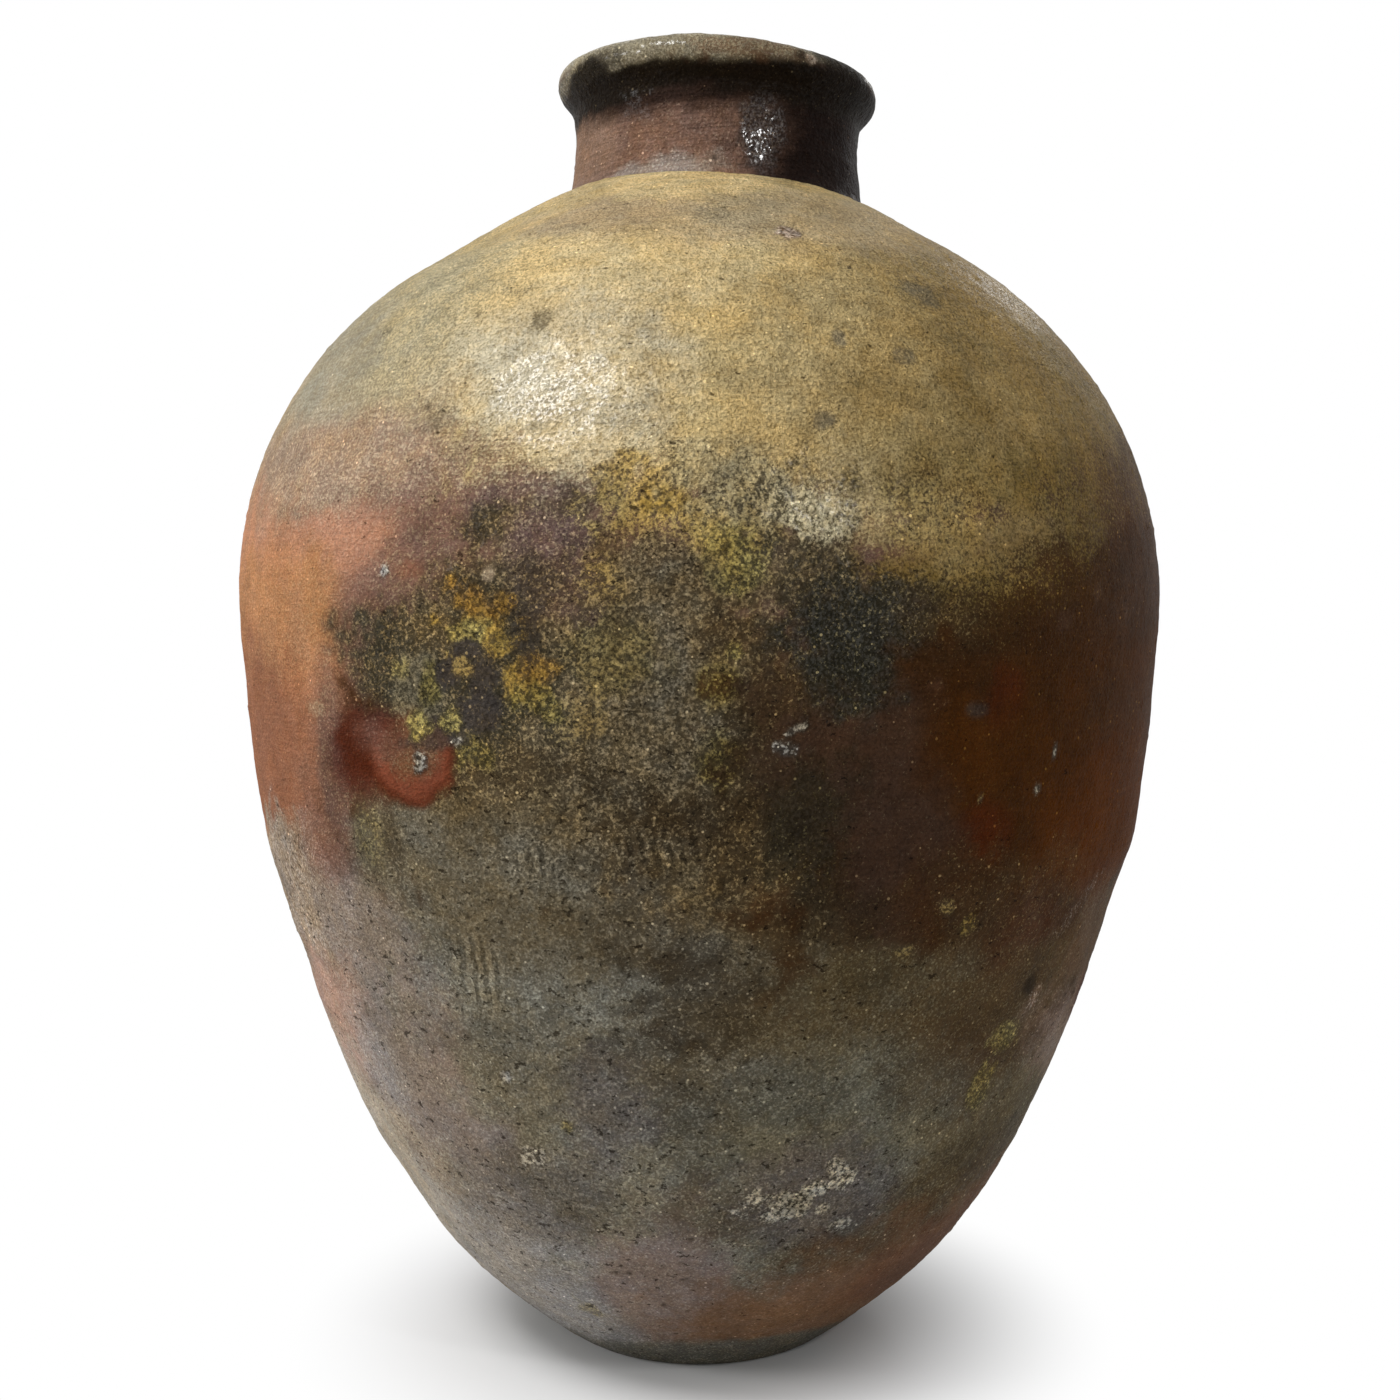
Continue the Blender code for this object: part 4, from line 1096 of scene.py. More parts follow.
# %% Relief that follows the paint
CRUST_RISE, CRUST_COVER, CRUST_LIMIT, CRUST_START, CRUST_FULL = 0.00022, 1.6, 0.9, -0.5, 0.7
PEBBLE, PEBBLE_NOISE = 0.00021, (0.0034, 2, 59)
ON_SMOOTH_CLAY = 0.3

coarseness = paint[..., COARSENESS]
crust = smooth(fine_field + CRUST_COVER * paint[..., COVER] - CRUST_LIMIT, CRUST_START, CRUST_FULL)
relief += CRUST_RISE * (ON_SMOOTH_CLAY + coarseness) * crust
relief += PEBBLE * noise(sheet @ OCTAVE_TURN, *PEBBLE_NOISE) * (ON_SMOOTH_CLAY + coarseness)
print("crust on", round(float((crust > 0.5).mean()) * 100, 1), "% of the points")

# %% Scattered grains and pits
# Cell size in metres and seed; sizes are shares of a cell
GRAIN_RISE, GRAIN_CELLS, GRAIN_EDGE_AT, GRAIN_FULL_AT, GRAIN_SHARE = 0.00032, (0.0046, 61), 0.42, 0.12, 0.26
PIT_DEPTH, PIT_CELLS, PIT_SQUASH, PIT_SHARE = 0.00045, (0.0085, 67), (1.0, 1.0, 1.5), 0.25
SMALLEST_PIT, PIT_FLOOR, PIT_RAGGED, PIT_SHADE = 0.10, 0.4, 0.05, 0.6

grain_distance, grain_chance = scattered(sheet, *GRAIN_CELLS)
grains = smooth(grain_distance, GRAIN_EDGE_AT, GRAIN_FULL_AT) * (grain_chance < GRAIN_SHARE * coarseness)
relief += GRAIN_RISE * grains
pit_distance, pit_chance = scattered(sheet * PIT_SQUASH, *PIT_CELLS)
pit_size = SMALLEST_PIT + (1 - SMALLEST_PIT) * pit_chance
pit_marks = smooth(pit_distance + PIT_RAGGED * tiny_field, pit_size, PIT_FLOOR * pit_size)
pit_marks = pit_marks * (pit_chance < PIT_SHARE * paint[..., PITS])
relief -= PIT_DEPTH * pit_marks
lay("pit", PIT_SHADE * pit_marks)
print("grains on", round(float((grains > 0.5).mean()) * 100, 1), "% of the points, pits on",
      round(float((pit_marks > 0.5).mean()) * 100, 1), "%")

# %% Move the clay
# Share of the relief that is left inside and on the base, and the height by which it is whole
RELIEF_INSIDE, RELIEF_ON_BASE, RELIEF_WHOLE = 0.6, 0.25, 0.006
UNDERSIDE_HOLLOW, HOLLOW_START, HOLLOW_END, STANDING = 0.0012, 0.030, 0.050, 0.0005
# The neck's foot slips back by a shift, and every metre above it by an ease more
NECK_SHIFT, NECK_SHIFT_RUN, NECK_EASE = 0.0004, 0.010, 0.042

off_base = smooth(height, 0.0, RELIEF_WHOLE)
relief *= np.where(inside, RELIEF_INSIDE, RELIEF_ON_BASE + (1 - RELIEF_ON_BASE) * off_base)
hollow = (1 - smooth(radius, HOLLOW_START, HOLLOW_END)) * (height < STANDING) * ~inside
shape = sheet + relief[..., None] * normals
shape[..., 0] -= NECK_SHIFT * smooth(height, seat_height - NECK_SHIFT_RUN, seat_height)
shape[..., 0] -= NECK_EASE * np.maximum(height - seat_height, 0.0)
shape[..., 2] = np.maximum(shape[..., 2], 0.0) + UNDERSIDE_HOLLOW * hollow
shape[0], shape[-1] = shape[0].mean(axis=0), shape[-1].mean(axis=0)
normals = sheet_normals(shape)
print("shape in mm:", np.round(shape.min(axis=(0, 1)) * 1000, 1), np.round(shape.max(axis=(0, 1)) * 1000, 1))

# %% [markdown]
# ## Cutting the sheet into the potter's pieces
# A piece is the rows between its seams outside and inside, joined across each lap, so that it is a
# closed body of clay. The base closes at its two middle points instead. Faces wind the same way all
# over the sheet, so every piece faces outwards. The whole sheet's normals are kept on each piece,
# because normals worked out piece by piece would draw a line along every seam.

# %% A map for the clay's surface
MAP_STRIPS = 3
MAP_MARGIN = 0.006
HIDDEN_MAP_SHARE = 0.35


def clay_map(rows, columns):
    """Map places of each quad's corners: the way round is cut in strips, stacked one above the other."""
    along_share = np.concatenate(([0.0], np.cumsum(rows)))
    along_share /= along_share[-1]
    column = np.arange(columns)
    strip = column * MAP_STRIPS // columns
    in_strip = column * MAP_STRIPS / columns - strip
    width = MAP_STRIPS / columns
    usable = 1 - 2 * MAP_MARGIN
    left = MAP_MARGIN + usable * in_strip / (1 + width)
    right = MAP_MARGIN + usable * (in_strip + width) / (1 + width)
    low = (strip + MAP_MARGIN + usable * along_share[:-1, None]) / MAP_STRIPS
    high = (strip + MAP_MARGIN + usable * along_share[1:, None]) / MAP_STRIPS
    left, right = np.broadcast_to(left, low.shape), np.broadcast_to(right, low.shape)
    corners = ((left, low), (right, low), (right, high), (left, high))
    return np.stack([np.stack(corner, axis=-1) for corner in corners], axis=2)


# %% Faces between a piece's rows
def closed_quads(row_count, columns, has_poles):
    """Point numbers at the corners of each quad, and where on the grid each point is found first.

    Without poles the last row is joined to the first. With poles, each end row is a single point.
    """
    ids = np.arange(row_count * columns).reshape(row_count, columns)
    if has_poles:
        ids = np.maximum(ids - columns + 1, 0)
        ids[-1] = ids[-2, -1] + 1
    else:
        ids = np.concatenate((ids, ids[:1]))
    beside = np.roll(ids, -1, axis=1)
    quads = np.stack((ids[:-1], beside[:-1], beside[1:], ids[1:]), axis=-1)
    return quads, np.unique(ids, return_index=True)[1]


def face_by_face(values, has_poles):
    """The values at the corners of all faces, where the quads that end in a pole become triangles."""
    if not has_poles:
        return [values.reshape(-1, *values.shape[2:])]
    middle = values[1:-1].reshape(-1, *values.shape[2:])
    return [values[0][:, [0, 2, 3]], middle, values[-1][:, [0, 1, 2]]]


# %% Build one piece from its rows
PIECE_COLUMNS = {"base_disc": 440, "neck_collar": 440, "rolled_rim": 440}
PIECE_NAMES = {
    "base_disc": "floor_disc", "foot_wall": "foot_stage", "lower_wall": "lower_stage",
    "belly_wall": "belly_stage", "upper_belly_wall": "upper_belly_stage",
    "shoulder_dome": "closing_shoulder", "neck_collar": "neck_coil", "rolled_rim": "rolled_lip",
}


def clay_piece(node_name, material):
    """Closed body of clay from the sheet's rows of one node, with the painted values at its points."""
    rows = np.concatenate([np.arange(start, end + 1) for start, end in spans[node_name]])
    columns = PIECE_COLUMNS.get(node_name, COLUMNS)
    own = (rows[:, None], np.arange(0, COLUMNS, COLUMNS // columns)[None, :])
    has_poles = rows[0] == 0
    quads, kept = closed_quads(len(rows), columns, has_poles)
    first = shape[own][:, 0]
    bands = np.linalg.norm(np.diff(first, axis=0, append=first[:1]), axis=-1)[:len(quads)]
    places = clay_map(np.where(bands > UNDERSIDE_STEP, HIDDEN_MAP_SHARE * bands, bands), columns)
    faces = [face for part in face_by_face(quads, has_poles) for face in part.tolist()]
    corners = [part.reshape(-1, 2) for part in face_by_face(places, has_poles)]

    mesh = bpy.data.meshes.new(PIECE_NAMES[node_name])
    mesh.from_pydata(shape[own].reshape(-1, 3)[kept], [], faces)
    map_places = np.concatenate(corners).astype(np.float32).ravel()
    mesh.uv_layers.new(name="OFBake").uv.foreach_set("vector", map_places)
    mesh.polygons.foreach_set("use_smooth", np.ones(len(faces), dtype=bool))
    for name, values in painted.items():
        layer = mesh.color_attributes.new(name, "FLOAT_COLOR", "POINT")
        colours = np.ones((len(kept), 4), dtype=np.float32)
        colours[:, :3] = values[own].reshape(-1, 3)[kept]
        layer.data.foreach_set("color", colours.ravel())
    mesh.normals_split_custom_set_from_vertices(normals[own].reshape(-1, 3)[kept])
    mesh.materials.append(material)
    piece = bpy.data.objects.new(PIECE_NAMES[node_name], mesh)
    bpy.context.scene.collection.objects.link(piece)
    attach(piece, "root")
    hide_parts(node_name)
    print(f"{piece.name}: {len(kept)} points, {sum(map(len, faces)) - 2 * len(faces)} triangles")

# %% [markdown]
# ## Shader tools
# The paint on the grid is as fine as the grid, about a millimetre. Everything finer, such as ash
# grains, pits and wiping lines, is worked out in the shader from the position in space. Each effect
# is a node group, built once and placed in every material with that material's values.

# %% Helpers that add nodes to a shader tree
def node(tree, kind, inputs=None, **settings):
    """Add a shader node, set its properties, and fill or link its inputs by name or number."""
    made = tree.nodes.new(kind)
    for name, value in settings.items():
        setattr(made, name, value)
    for name, value in (inputs or {}).items():
        if isinstance(value, bpy.types.NodeSocket):
            tree.links.new(value, made.inputs[name])
        else:
            made.inputs[name].default_value = value
    return made


def maths(tree, operation, *values, clamp=False):
    """A Math node's result for one, two or three values."""
    inputs = dict(enumerate(values))
    return node(tree, "ShaderNodeMath", inputs, operation=operation, use_clamp=clamp).outputs[0]


def vector_maths(tree, operation, *values):
    """A Vector Math node's vector result."""
    inputs = dict(enumerate(values))
    return node(tree, "ShaderNodeVectorMath", inputs, operation=operation).outputs["Vector"]


def scaled(tree, vector, factor):
    """A vector or colour times a number."""
    inputs = {"Vector": vector, "Scale": factor}
    return node(tree, "ShaderNodeVectorMath", inputs, operation="SCALE").outputs["Vector"]


def swing(tree, value):
    """A value from 0 to 1 moved down to -0.5 to 0.5, so that it darkens as much as it brightens."""
    return maths(tree, "SUBTRACT", value, 0.5)


def step(tree, value, low, high):
    """0 at low, 1 at high, smooth between."""
    inputs = {"Value": value, "From Min": low, "From Max": high}
    return node(tree, "ShaderNodeMapRange", inputs, interpolation_type="SMOOTHSTEP").outputs["Result"]


def mix(tree, share, first, second):
    """Colour that goes from the first to the second by a share."""
    inputs = {"Factor": share, 6: first, 7: second}
    return node(tree, "ShaderNodeMix", inputs, data_type="RGBA").outputs[2]


def noise_field(tree, places, scale, detail, roughness=0.65):
    """Noise from 0 to 1 with a number of cells per metre."""
    inputs = {"Vector": places, "Scale": scale, "Detail": detail, "Roughness": roughness}
    return node(tree, "ShaderNodeTexNoise", inputs).outputs["Fac"]


# %% Helpers for shader groups
FLOAT, VECTOR, COLOUR = "NodeSocketFloat", "NodeSocketVector", "NodeSocketColor"


def new_group(name, inputs, outputs):
    """An empty shader group: its tree, the sockets that come in and the sockets of its results."""
    tree = bpy.data.node_groups.new(name, "ShaderNodeTree")
    for title, kind in inputs.items():
        tree.interface.new_socket(title, in_out="INPUT", socket_type=kind)
    for title, kind in outputs.items():
        tree.interface.new_socket(title, in_out="OUTPUT", socket_type=kind)
    return tree, tree.nodes.new("NodeGroupInput").outputs, tree.nodes.new("NodeGroupOutput").inputs


def use_group(tree, group, **inputs):
    """Place a group in a material, fill its sockets by name and give its one result."""
    return node(tree, "ShaderNodeGroup", inputs, node_tree=group).outputs[0]


# %% Group: ash grains
# Fine and coarse noise, in cells per metre, cut at a limit that falls as the cover grows
FINE_GRAINS, COARSE_GRAINS = 1050.0, 560.0
BARE_LIMIT, LIMIT_FALL, GRAIN_EDGE = 0.67, -0.34, 0.065

ash_group, given, results = new_group(
    "ash_grains", {"Vector": VECTOR, "Cover": FLOAT, "Coarseness": FLOAT}, {"Mask": FLOAT})
fine = noise_field(ash_group, given["Vector"], FINE_GRAINS, detail=3.0)
coarse = noise_field(ash_group, given["Vector"], COARSE_GRAINS, detail=5.0)
difference = maths(ash_group, "SUBTRACT", coarse, fine)
field = maths(ash_group, "MULTIPLY_ADD", given["Coarseness"], difference, fine)
limit = maths(ash_group, "MULTIPLY_ADD", given["Cover"], LIMIT_FALL, BARE_LIMIT)
mask = step(ash_group, field, maths(ash_group, "SUBTRACT", limit, GRAIN_EDGE),
            maths(ash_group, "ADD", limit, GRAIN_EDGE))
ash_group.links.new(mask, results["Mask"])

# %% Group: specks, round spots of many sizes in some of the cells of a Voronoi pattern
SPECK_EDGE, SMALLEST_SPECK = 0.6, 0.35

speck_group, given, results = new_group(
    "specks", {"Vector": VECTOR, "Scale": FLOAT, "Share": FLOAT, "Size": FLOAT}, {"Mask": FLOAT})
cells = node(speck_group, "ShaderNodeTexVoronoi",
             {"Vector": given["Vector"], "Scale": given["Scale"]}).outputs
chances = node(speck_group, "ShaderNodeSeparateColor", {"Color": cells["Color"]}).outputs
chosen = maths(speck_group, "LESS_THAN", chances["Red"], given["Share"])
size = maths(speck_group, "MULTIPLY", given["Size"],
             maths(speck_group, "MULTIPLY_ADD", chances["Green"], 1 - SMALLEST_SPECK, SMALLEST_SPECK))
dot = step(speck_group, cells["Distance"], size, maths(speck_group, "MULTIPLY", size, SPECK_EDGE))
speck_group.links.new(maths(speck_group, "MULTIPLY", chosen, dot), results["Mask"])

# %% Group: pits, ragged holes where a noise dips lowest
PIT_STRETCH = (290.0, 290.0, 440.0)
FEWEST_PITS, MORE_PITS, HOLE_EDGE = 0.27, 0.15, 0.03

pit_group, given, results = new_group("pits", {"Vector": VECTOR, "Amount": FLOAT}, {"Mask": FLOAT})
flattened = vector_maths(pit_group, "MULTIPLY", given["Vector"], PIT_STRETCH)
dips = noise_field(pit_group, flattened, scale=1.0, detail=3.0)
limit = maths(pit_group, "MULTIPLY_ADD", given["Amount"], MORE_PITS, FEWEST_PITS)
pit_group.links.new(step(pit_group, dips, maths(pit_group, "ADD", limit, HOLE_EDGE), limit), results["Mask"])

# %% Group: strokes, noise drawn out along one direction
stroke_group, given, results = new_group("strokes", {"Vector": VECTOR, "Scale": VECTOR}, {"Height": FLOAT})
drawn_out = vector_maths(stroke_group, "MULTIPLY", given["Vector"], given["Scale"])
stroke_group.links.new(noise_field(stroke_group, drawn_out, scale=1.0, detail=2.0), results["Height"])

# %% Group: mottle, a tint that wanders in brightness and between warm and cool
# Cells per metre, then the roughness of the keener noises
BROAD_MOTTLE, SMALL_MOTTLE, WARMTH_CELLS, KEEN = 55.0, 230.0, 30.0, 0.8
MOTTLE_LOW, MOTTLE_HIGH, DARKEST, BRIGHTEST = 0.30, 0.70, 0.45, 1.55
COOL_BELOW, WARM_ABOVE = 0.35, 0.65
WARM, COOL, PLAIN = (1.08, 1.0, 0.84, 1.0), (0.94, 1.0, 1.10, 1.0), (1.0, 1.0, 1.0, 1.0)

mottle_group, given, results = new_group("mottle", {"Vector": VECTOR, "Amount": FLOAT}, {"Tint": COLOUR})
broad = noise_field(mottle_group, given["Vector"], BROAD_MOTTLE, detail=3.0)
small = noise_field(mottle_group, given["Vector"], SMALL_MOTTLE, detail=6.0, roughness=KEEN)
both = maths(mottle_group, "MULTIPLY", maths(mottle_group, "ADD", broad, small), 0.5)
brightness = node(mottle_group, "ShaderNodeMapRange", {
    "Value": both, "From Min": MOTTLE_LOW, "From Max": MOTTLE_HIGH,
    "To Min": DARKEST, "To Max": BRIGHTEST}).outputs["Result"]
excess = maths(mottle_group, "SUBTRACT", brightness, 1.0)
brightness = maths(mottle_group, "MULTIPLY_ADD", excess, given["Amount"], 1.0)
warmth = noise_field(mottle_group, given["Vector"], WARMTH_CELLS, detail=5.0, roughness=KEEN)
tint = mix(mottle_group, step(mottle_group, warmth, COOL_BELOW, WARM_ABOVE), COOL, WARM)
tint = mix(mottle_group, given["Amount"], PLAIN, tint)
mottle_group.links.new(scaled(mottle_group, tint, brightness), results["Tint"])
print("groups:", [group.name for group in bpy.data.node_groups])

# %% [markdown]
# ## Stoneware
# Every piece gets a material of its own, made by one function, because a potter works each stage
# differently: the shoulder is wiped smooth, the lower wall is pared and the foot is gritty. The
# painted attributes carry colours and masks; the shader breaks the ash up into grains, adds
# specks and pits, and turns all of them into one bump height in metres.

# %% Comb marks
COMB_SCALE, COMB_WAVER, COMB_LEAN = 78.0, 4.0, 0.10
COMB_DETAIL, COMB_DETAIL_SCALE = 2.0, 1.2
TOOTH_LOW, TOOTH_HIGH = 0.15, 0.75


def comb_teeth(tree, upright):
    """Even lines that waver and lean a little, from 0 in a groove to 1 on a ridge."""
    leaned = node(tree, "ShaderNodeVectorRotate", {"Vector": upright, "Angle": COMB_LEAN},
                  rotation_type="Y_AXIS").outputs["Vector"]
    comb = {"Vector": leaned, "Scale": COMB_SCALE, "Distortion": COMB_WAVER,
            "Detail": COMB_DETAIL, "Detail Scale": COMB_DETAIL_SCALE}
    return step(tree, node(tree, "ShaderNodeTexWave", comb).outputs["Fac"], TOOTH_LOW, TOOTH_HIGH)


# %% All that varies over a piece
# Cells are counted per metre. The noises are turned, so that their lattices don't line up with the jar
TURN_AXIS, TURN = (0.6, 0.5, 0.62), 0.9
BRIGHT_SPECKS, SPECK_SHARE, SPECK_SIZE = 560.0, 0.22, 0.36
MOTTLE_START, MOTTLE_GAIN = 0.30, 1.4
SKIN_CELLS, CRUST_CELLS, SMOOTH_SHARE = 1000.0, 540.0, 0.30
WIPE_SCALE = (50.0, 50.0, 1000.0)


def clay_effects(tree, wiping):
    """The painted colours and the gloss, and each mask and noise of the groups, by name."""
    upright = node(tree, "ShaderNodeTexCoord").outputs["Object"]
    places = node(tree, "ShaderNodeVectorRotate", {"Vector": upright, "Axis": TURN_AXIS, "Angle": TURN},
                  rotation_type="AXIS_ANGLE").outputs["Vector"]
    ground, ash, finish, marks = (
        node(tree, "ShaderNodeAttribute", attribute_name=layer).outputs["Color"]
        for layer in ("ground", "ash", "finish", "marks"))
    cover, gloss, coarseness = node(tree, "ShaderNodeSeparateColor", {"Color": finish}).outputs[:3]
    pitted, wiped, combed = node(tree, "ShaderNodeSeparateColor", {"Color": marks}).outputs[:3]
    share = maths(tree, "MULTIPLY", coarseness, SPECK_SHARE)
    unevenness = maths(tree, "MULTIPLY_ADD", coarseness, MOTTLE_GAIN, MOTTLE_START)
    crust_share = maths(tree, "ADD", coarseness, SMOOTH_SHARE)
    lines = swing(tree, use_group(tree, stroke_group, Vector=upright, Scale=WIPE_SCALE))
    skin = noise_field(tree, places, SKIN_CELLS, detail=2.0)
    crust = noise_field(tree, places, CRUST_CELLS, detail=3.0)
    return {
        "ground": ground,
        "ash": ash,
        "gloss": gloss,
        "grains": use_group(tree, ash_group, Vector=places, Cover=cover, Coarseness=coarseness),
        "specks": use_group(tree, speck_group, Vector=places, Scale=BRIGHT_SPECKS, Share=share,
                            Size=SPECK_SIZE),
        "holes": use_group(tree, pit_group, Vector=upright, Amount=pitted),
        "tint": use_group(tree, mottle_group, Vector=places, Amount=unevenness),
        "streaks": maths(tree, "MULTIPLY", lines, maths(tree, "MULTIPLY", wiped, wiping)),
        "scratches": maths(tree, "MULTIPLY", swing(tree, comb_teeth(tree, upright)), combed),
        "skin": skin,
        "crests": maths(tree, "MULTIPLY", swing(tree, skin), crust_share),
        "crust": maths(tree, "MULTIPLY", crust, crust_share),
    }


# %% Colour of the stoneware
# Specks brighter than their ash: partly pale ash, partly painted glints
SPECK_GAIN, SPECK_COVER = (2.2, 2.2, 2.2), 0.8
HOLE_SHADE, HOLE_COVER = (0.22, 0.20, 0.18), 0.85
# The crests' term brightens the skin's crests and darkens its hollows: painted glints and painted shade,
# with ash catching on the crests
CONTRASTS = {"streaks": 1.1, "scratches": 0.60, "crests": 2.0}


def clay_colour(tree, effects):
    """The ground with ash on it in grains, and bright specks that are partly pale ash and partly painted
    glints, shaded, and the holes last.

    The shade is the mottled tint times 1 + the sum of contrast * effect; on the skin's crests and in its
    hollows that is painted glints and painted shade.
    """
    clay = mix(tree, effects["grains"], effects["ground"], effects["ash"])
    bright_ash = vector_maths(tree, "MULTIPLY", effects["ash"], SPECK_GAIN)
    clay = mix(tree, maths(tree, "MULTIPLY", effects["specks"], SPECK_COVER), clay, bright_ash)
    clay = vector_maths(tree, "MULTIPLY", clay, effects["tint"])
    brightness = 1.0
    for name, contrast in CONTRASTS.items():
        brightness = maths(tree, "MULTIPLY_ADD", effects[name], contrast, brightness)
    hole_colour = vector_maths(tree, "MULTIPLY", effects["ground"], HOLE_SHADE)
    holes = maths(tree, "MULTIPLY", effects["holes"], HOLE_COVER)
    return mix(tree, holes, scaled(tree, clay, brightness), hole_colour)


# %% Shine of the stoneware
MATT_ROUGHNESS, GLOSS_FALL = 0.72, -0.42
COAT_GAIN, COAT_START, BARE_COAT = 2.6, -1.25, 0.10
LOWEST_GLINT, HIGHEST_GLINT = 0.47, 0.60


def clay_shine(tree, effects):
    """Roughness, matt + fall * gloss, and the weight of a coat of melted ash.

    The weight is start + gain * gloss from 0 to 1, and it is full only on the crests of the skin.
    """
    roughness = maths(tree, "MULTIPLY_ADD", effects["gloss"], GLOSS_FALL, MATT_ROUGHNESS)
    melted = maths(tree, "MULTIPLY_ADD", effects["gloss"], COAT_GAIN, COAT_START, clamp=True)
    glints = step(tree, effects["skin"], LOWEST_GLINT, HIGHEST_GLINT)
    coated = maths(tree, "MULTIPLY_ADD", glints, 1 - BARE_COAT, BARE_COAT)
    return roughness, maths(tree, "MULTIPLY", melted, coated)


# %% Bump of the stoneware, with heights in metres
SKIN_HEIGHT = 0.0014
RISES = {"crust": 0.0030, "grains": 0.00020, "specks": 0.00018, "holes": -0.00035,
         "streaks": 0.00050, "scratches": 0.0006}


def clay_bump(tree, effects, grit):
    """Normals of one height: skin height * grit * skin + the sum of rise * effect."""
    height = maths(tree, "MULTIPLY", effects["skin"], SKIN_HEIGHT * grit)
    for name, rise in RISES.items():
        height = maths(tree, "MULTIPLY_ADD", effects[name], rise, height)
    inputs = {"Height": height, "Distance": 1.0, "Strength": 1.0}
    return node(tree, "ShaderNodeBump", inputs).outputs["Normal"]


# %% The stoneware itself
CLAY_SHINE = 0.02


def clay_material(name, grit, wiping, melt):
    """Fired clay from the painted attributes.

    Grit scales the skin's roughness, wiping its lines, and melt is the roughness of melted ash.
    """
    material = bpy.data.materials.new(name)
    material.use_nodes = True
    tree = material.node_tree
    shader = tree.nodes["Principled BSDF"]
    effects = clay_effects(tree, wiping)
    roughness, coat = clay_shine(tree, effects)
    tree.links.new(clay_colour(tree, effects), shader.inputs["Base Color"])
    tree.links.new(roughness, shader.inputs["Roughness"])
    tree.links.new(coat, shader.inputs["Coat Weight"])
    tree.links.new(clay_bump(tree, effects, grit), shader.inputs["Normal"])
    shader.inputs["Coat Roughness"].default_value = melt
    shader.inputs["Specular IOR Level"].default_value = CLAY_SHINE
    return material


# %% Where the clay is wiped and combed
# Pixel boxes, the distances in halves of a box at which a mark is full and gone, and its wander
WIPED = ((440, 395, 720, 485), (600, 70, 900, 190))
WIPED_EDGE, WIPED_WANDER = (0.7, 1.5), 0.0
COMBED = ((605, 826, 720, 868), (450, 925, 510, 1005), (516, 846, 560, 880))
COMBED_EDGE, COMBED_WANDER = (0.7, 1.2), 0.3
WIPED_LOW, WIPED_RISE, RISE_START, RISE_END = 0.45, 0.08, 0.34, 0.38


def mark(mask, boxes, edge, wander):
    """Raise a mask to 1 - smooth(distance + wander * noise) around each pixel box."""
    for box in boxes:
        rows, away, _ = spot(box)
        mask[rows] = np.maximum(mask[rows], 1 - smooth(away + wander * coarse_field[rows], *edge))


wiped = WIPED_LOW + WIPED_RISE * smooth(height, RISE_START, RISE_END)
combed = np.zeros_like(height)
mark(wiped, WIPED, WIPED_EDGE, WIPED_WANDER)
mark(combed, COMBED, COMBED_EDGE, COMBED_WANDER)
painted = {
    "ground": paint[..., GROUND],
    "ash": paint[..., ASH],
    "finish": paint[..., COVER:COARSENESS + 1],
    "marks": np.stack((paint[..., PITS], wiped, combed), axis=-1),
}
print("attributes:", {layer: values.shape for layer, values in painted.items()})

# %% The eight pieces
# Piece, grit of its skin, strength of its wiping lines, roughness of its melted ash
MATERIALS = (
    ("base_disc", 1.2, 0.0, 0.26),
    ("foot_wall", 1.1, 0.6, 0.26),
    ("lower_wall", 1.1, 0.6, 0.26),
    ("belly_wall", 1.0, 1.0, 0.26),
    ("upper_belly_wall", 1.0, 1.0, 0.25),
    ("shoulder_dome", 0.9, 1.0, 0.25),
    ("neck_collar", 0.8, 1.0, 0.13),
    ("rolled_rim", 0.7, 1.0, 0.17),
)
for piece_name, grit, wiping, melt in MATERIALS:
    clay_piece(piece_name, clay_material(f"{piece_name}_stoneware", grit, wiping, melt))

# %% [markdown]
# ## Floor, backdrop and light
# The jar stands on a pale floor. Near the jar the floor is a real surface that takes its shadow, and
# further out it fades into the white of the world, so no horizon shows. That white is only what the
# camera, gloss and glass see: the light on the jar comes from a dim world and a few soft lamps.

# %% World
WORLD_COLOUR = (1.0, 1.0, 1.0, 1.0)
WORLD_LIGHT = 0.22
BACKGROUND_WHITE = 1.0


def shown_as_background(tree):
    """1 for rays of the camera, of gloss and of glass, else 0."""
    path = node(tree, "ShaderNodeLightPath").outputs
    gloss_or_glass = maths(tree, "MAXIMUM", path["Is Glossy Ray"], path["Is Transmission Ray"])
    return maths(tree, "MAXIMUM", path["Is Camera Ray"], gloss_or_glass)


world = bpy.data.worlds.new("studio")
bpy.context.scene.world = world
world.use_nodes = True
tree = world.node_tree
background = tree.nodes["Background"]
background.inputs["Color"].default_value = WORLD_COLOUR
extra = BACKGROUND_WHITE - WORLD_LIGHT
strength = maths(tree, "MULTIPLY_ADD", shown_as_background(tree), extra, WORLD_LIGHT)
tree.links.new(strength, background.inputs["Strength"])
print("world:", world.name)

# %% Floor
FLOOR_RADIUS = 2.4
FLOOR_RINGS, FLOOR_SIDES = 12, 96

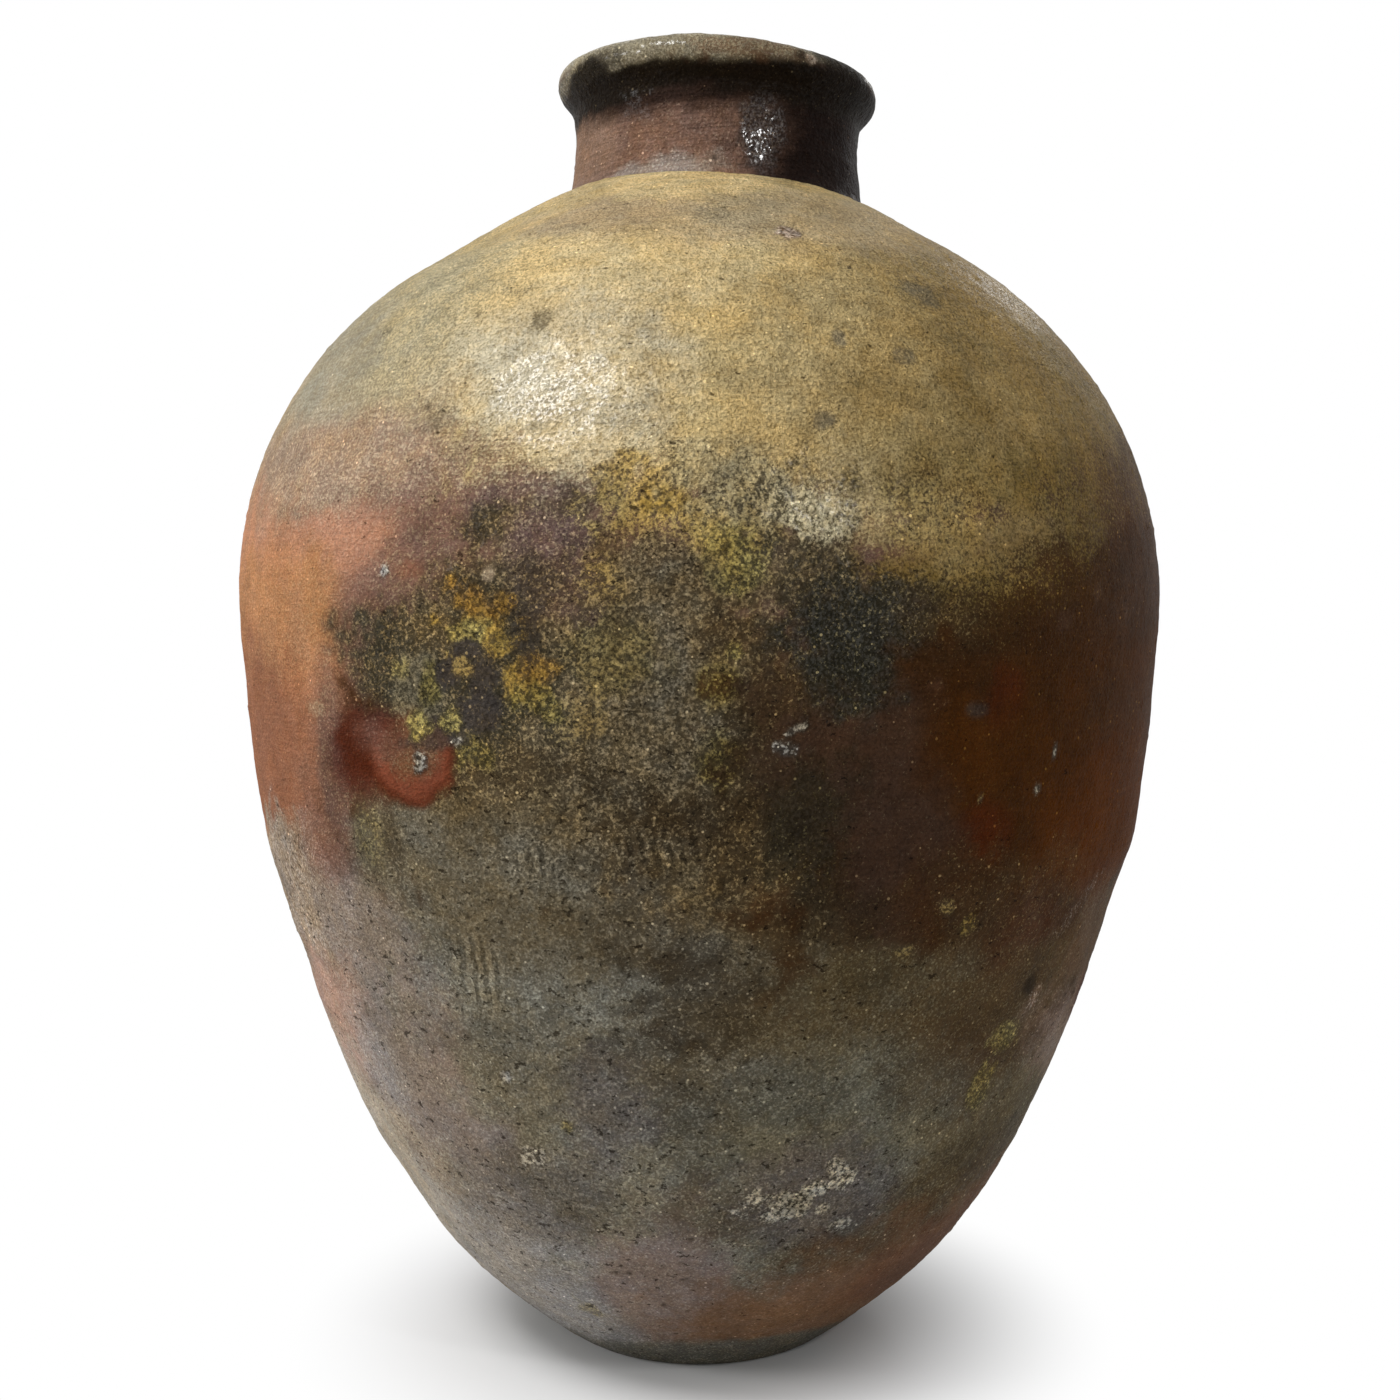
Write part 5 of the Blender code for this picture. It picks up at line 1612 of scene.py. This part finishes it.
floor_angles = np.linspace(0.0, 2 * math.pi, FLOOR_SIDES, endpoint=False)
floor_radii = FLOOR_RADIUS * np.linspace(0.0, 1.0, FLOOR_RINGS + 1)[1:, None]
floor_points = ring(floor_radii, 0.0, floor_angles).reshape(-1, 3)
ids = np.arange(len(floor_points)).reshape(FLOOR_RINGS, -1)
beside = np.roll(ids, -1, axis=1)
floor_faces = np.stack((ids[:-1], ids[1:], beside[1:], beside[:-1]), axis=-1).reshape(-1, 4).tolist()
floor_mesh = bpy.data.meshes.new("studio_floor")
floor_mesh.from_pydata(floor_points, [], [ids[0].tolist()] + floor_faces)
studio_floor = bpy.data.objects.new("studio_floor", floor_mesh)
bpy.context.scene.collection.objects.link(studio_floor)
print("floor:", len(floor_points), "points")

# %% The floor's fade
FADE_START, FADE_END = 0.055, 0.17
FLOOR_COLOUR = (0.80, 0.80, 0.80, 1.0)

floor_material = bpy.data.materials.new("pale_floor")
floor_material.use_nodes = True
tree = floor_material.node_tree
tree.nodes.clear()
places = node(tree, "ShaderNodeTexCoord").outputs["Object"]
from_jar = node(tree, "ShaderNodeVectorMath", {0: places}, operation="LENGTH").outputs["Value"]
fade = node(tree, "ShaderNodeMapRange", {"Value": from_jar, "From Min": FADE_START, "From Max": FADE_END},
            interpolation_type="SMOOTHSTEP").outputs["Result"]
matt = node(tree, "ShaderNodeBsdfDiffuse", {"Color": FLOOR_COLOUR}).outputs["BSDF"]
white = node(tree, "ShaderNodeEmission", {"Strength": BACKGROUND_WHITE}).outputs["Emission"]
whiteness = maths(tree, "MULTIPLY", fade, shown_as_background(tree))
mixed = node(tree, "ShaderNodeMixShader", {0: whiteness, 1: matt, 2: white}).outputs["Shader"]
node(tree, "ShaderNodeOutputMaterial", {"Surface": mixed})
floor_mesh.materials.append(floor_material)

# %% Lamps
# Name, degrees round from the front towards the right, degrees up, distance, size, watts
LAMPS = (
    ("key_softbox", -46.0, 51.0, 1.7, 0.55, 16.0),
    ("left_window", -70.0, 16.0, 1.9, 0.50, 11.0),
    ("front_right_high", 31.0, 31.0, 2.0, 0.14, 3.5),
    ("front_right_low", 40.5, 21.5, 2.0, 0.08, 2.2),
    ("back_right", 150.0, 30.0, 1.6, 0.25, 1.2),
)
LAMP_AIM = np.array((0.0, 0.0, 0.28))

for name, side, rise, distance, size, watts in LAMPS:
    side, rise = math.radians(side), math.radians(rise)
    way = np.array((math.sin(side) * math.cos(rise), -math.cos(side) * math.cos(rise), math.sin(rise)))
    lamp_data = bpy.data.lights.new(name, "AREA")
    lamp_data.shape = "DISK"
    lamp_data.size = size
    lamp_data.energy = watts
    lamp = bpy.data.objects.new(name, lamp_data)
    lamp.location = LAMP_AIM + distance * way
    lamp.rotation_euler = mathutils.Vector(way).to_track_quat("Z", "Y").to_euler()
    bpy.context.scene.collection.objects.link(lamp)
print("lamps:", len(LAMPS))
bpy.context.scene.view_settings.view_transform = "Standard"
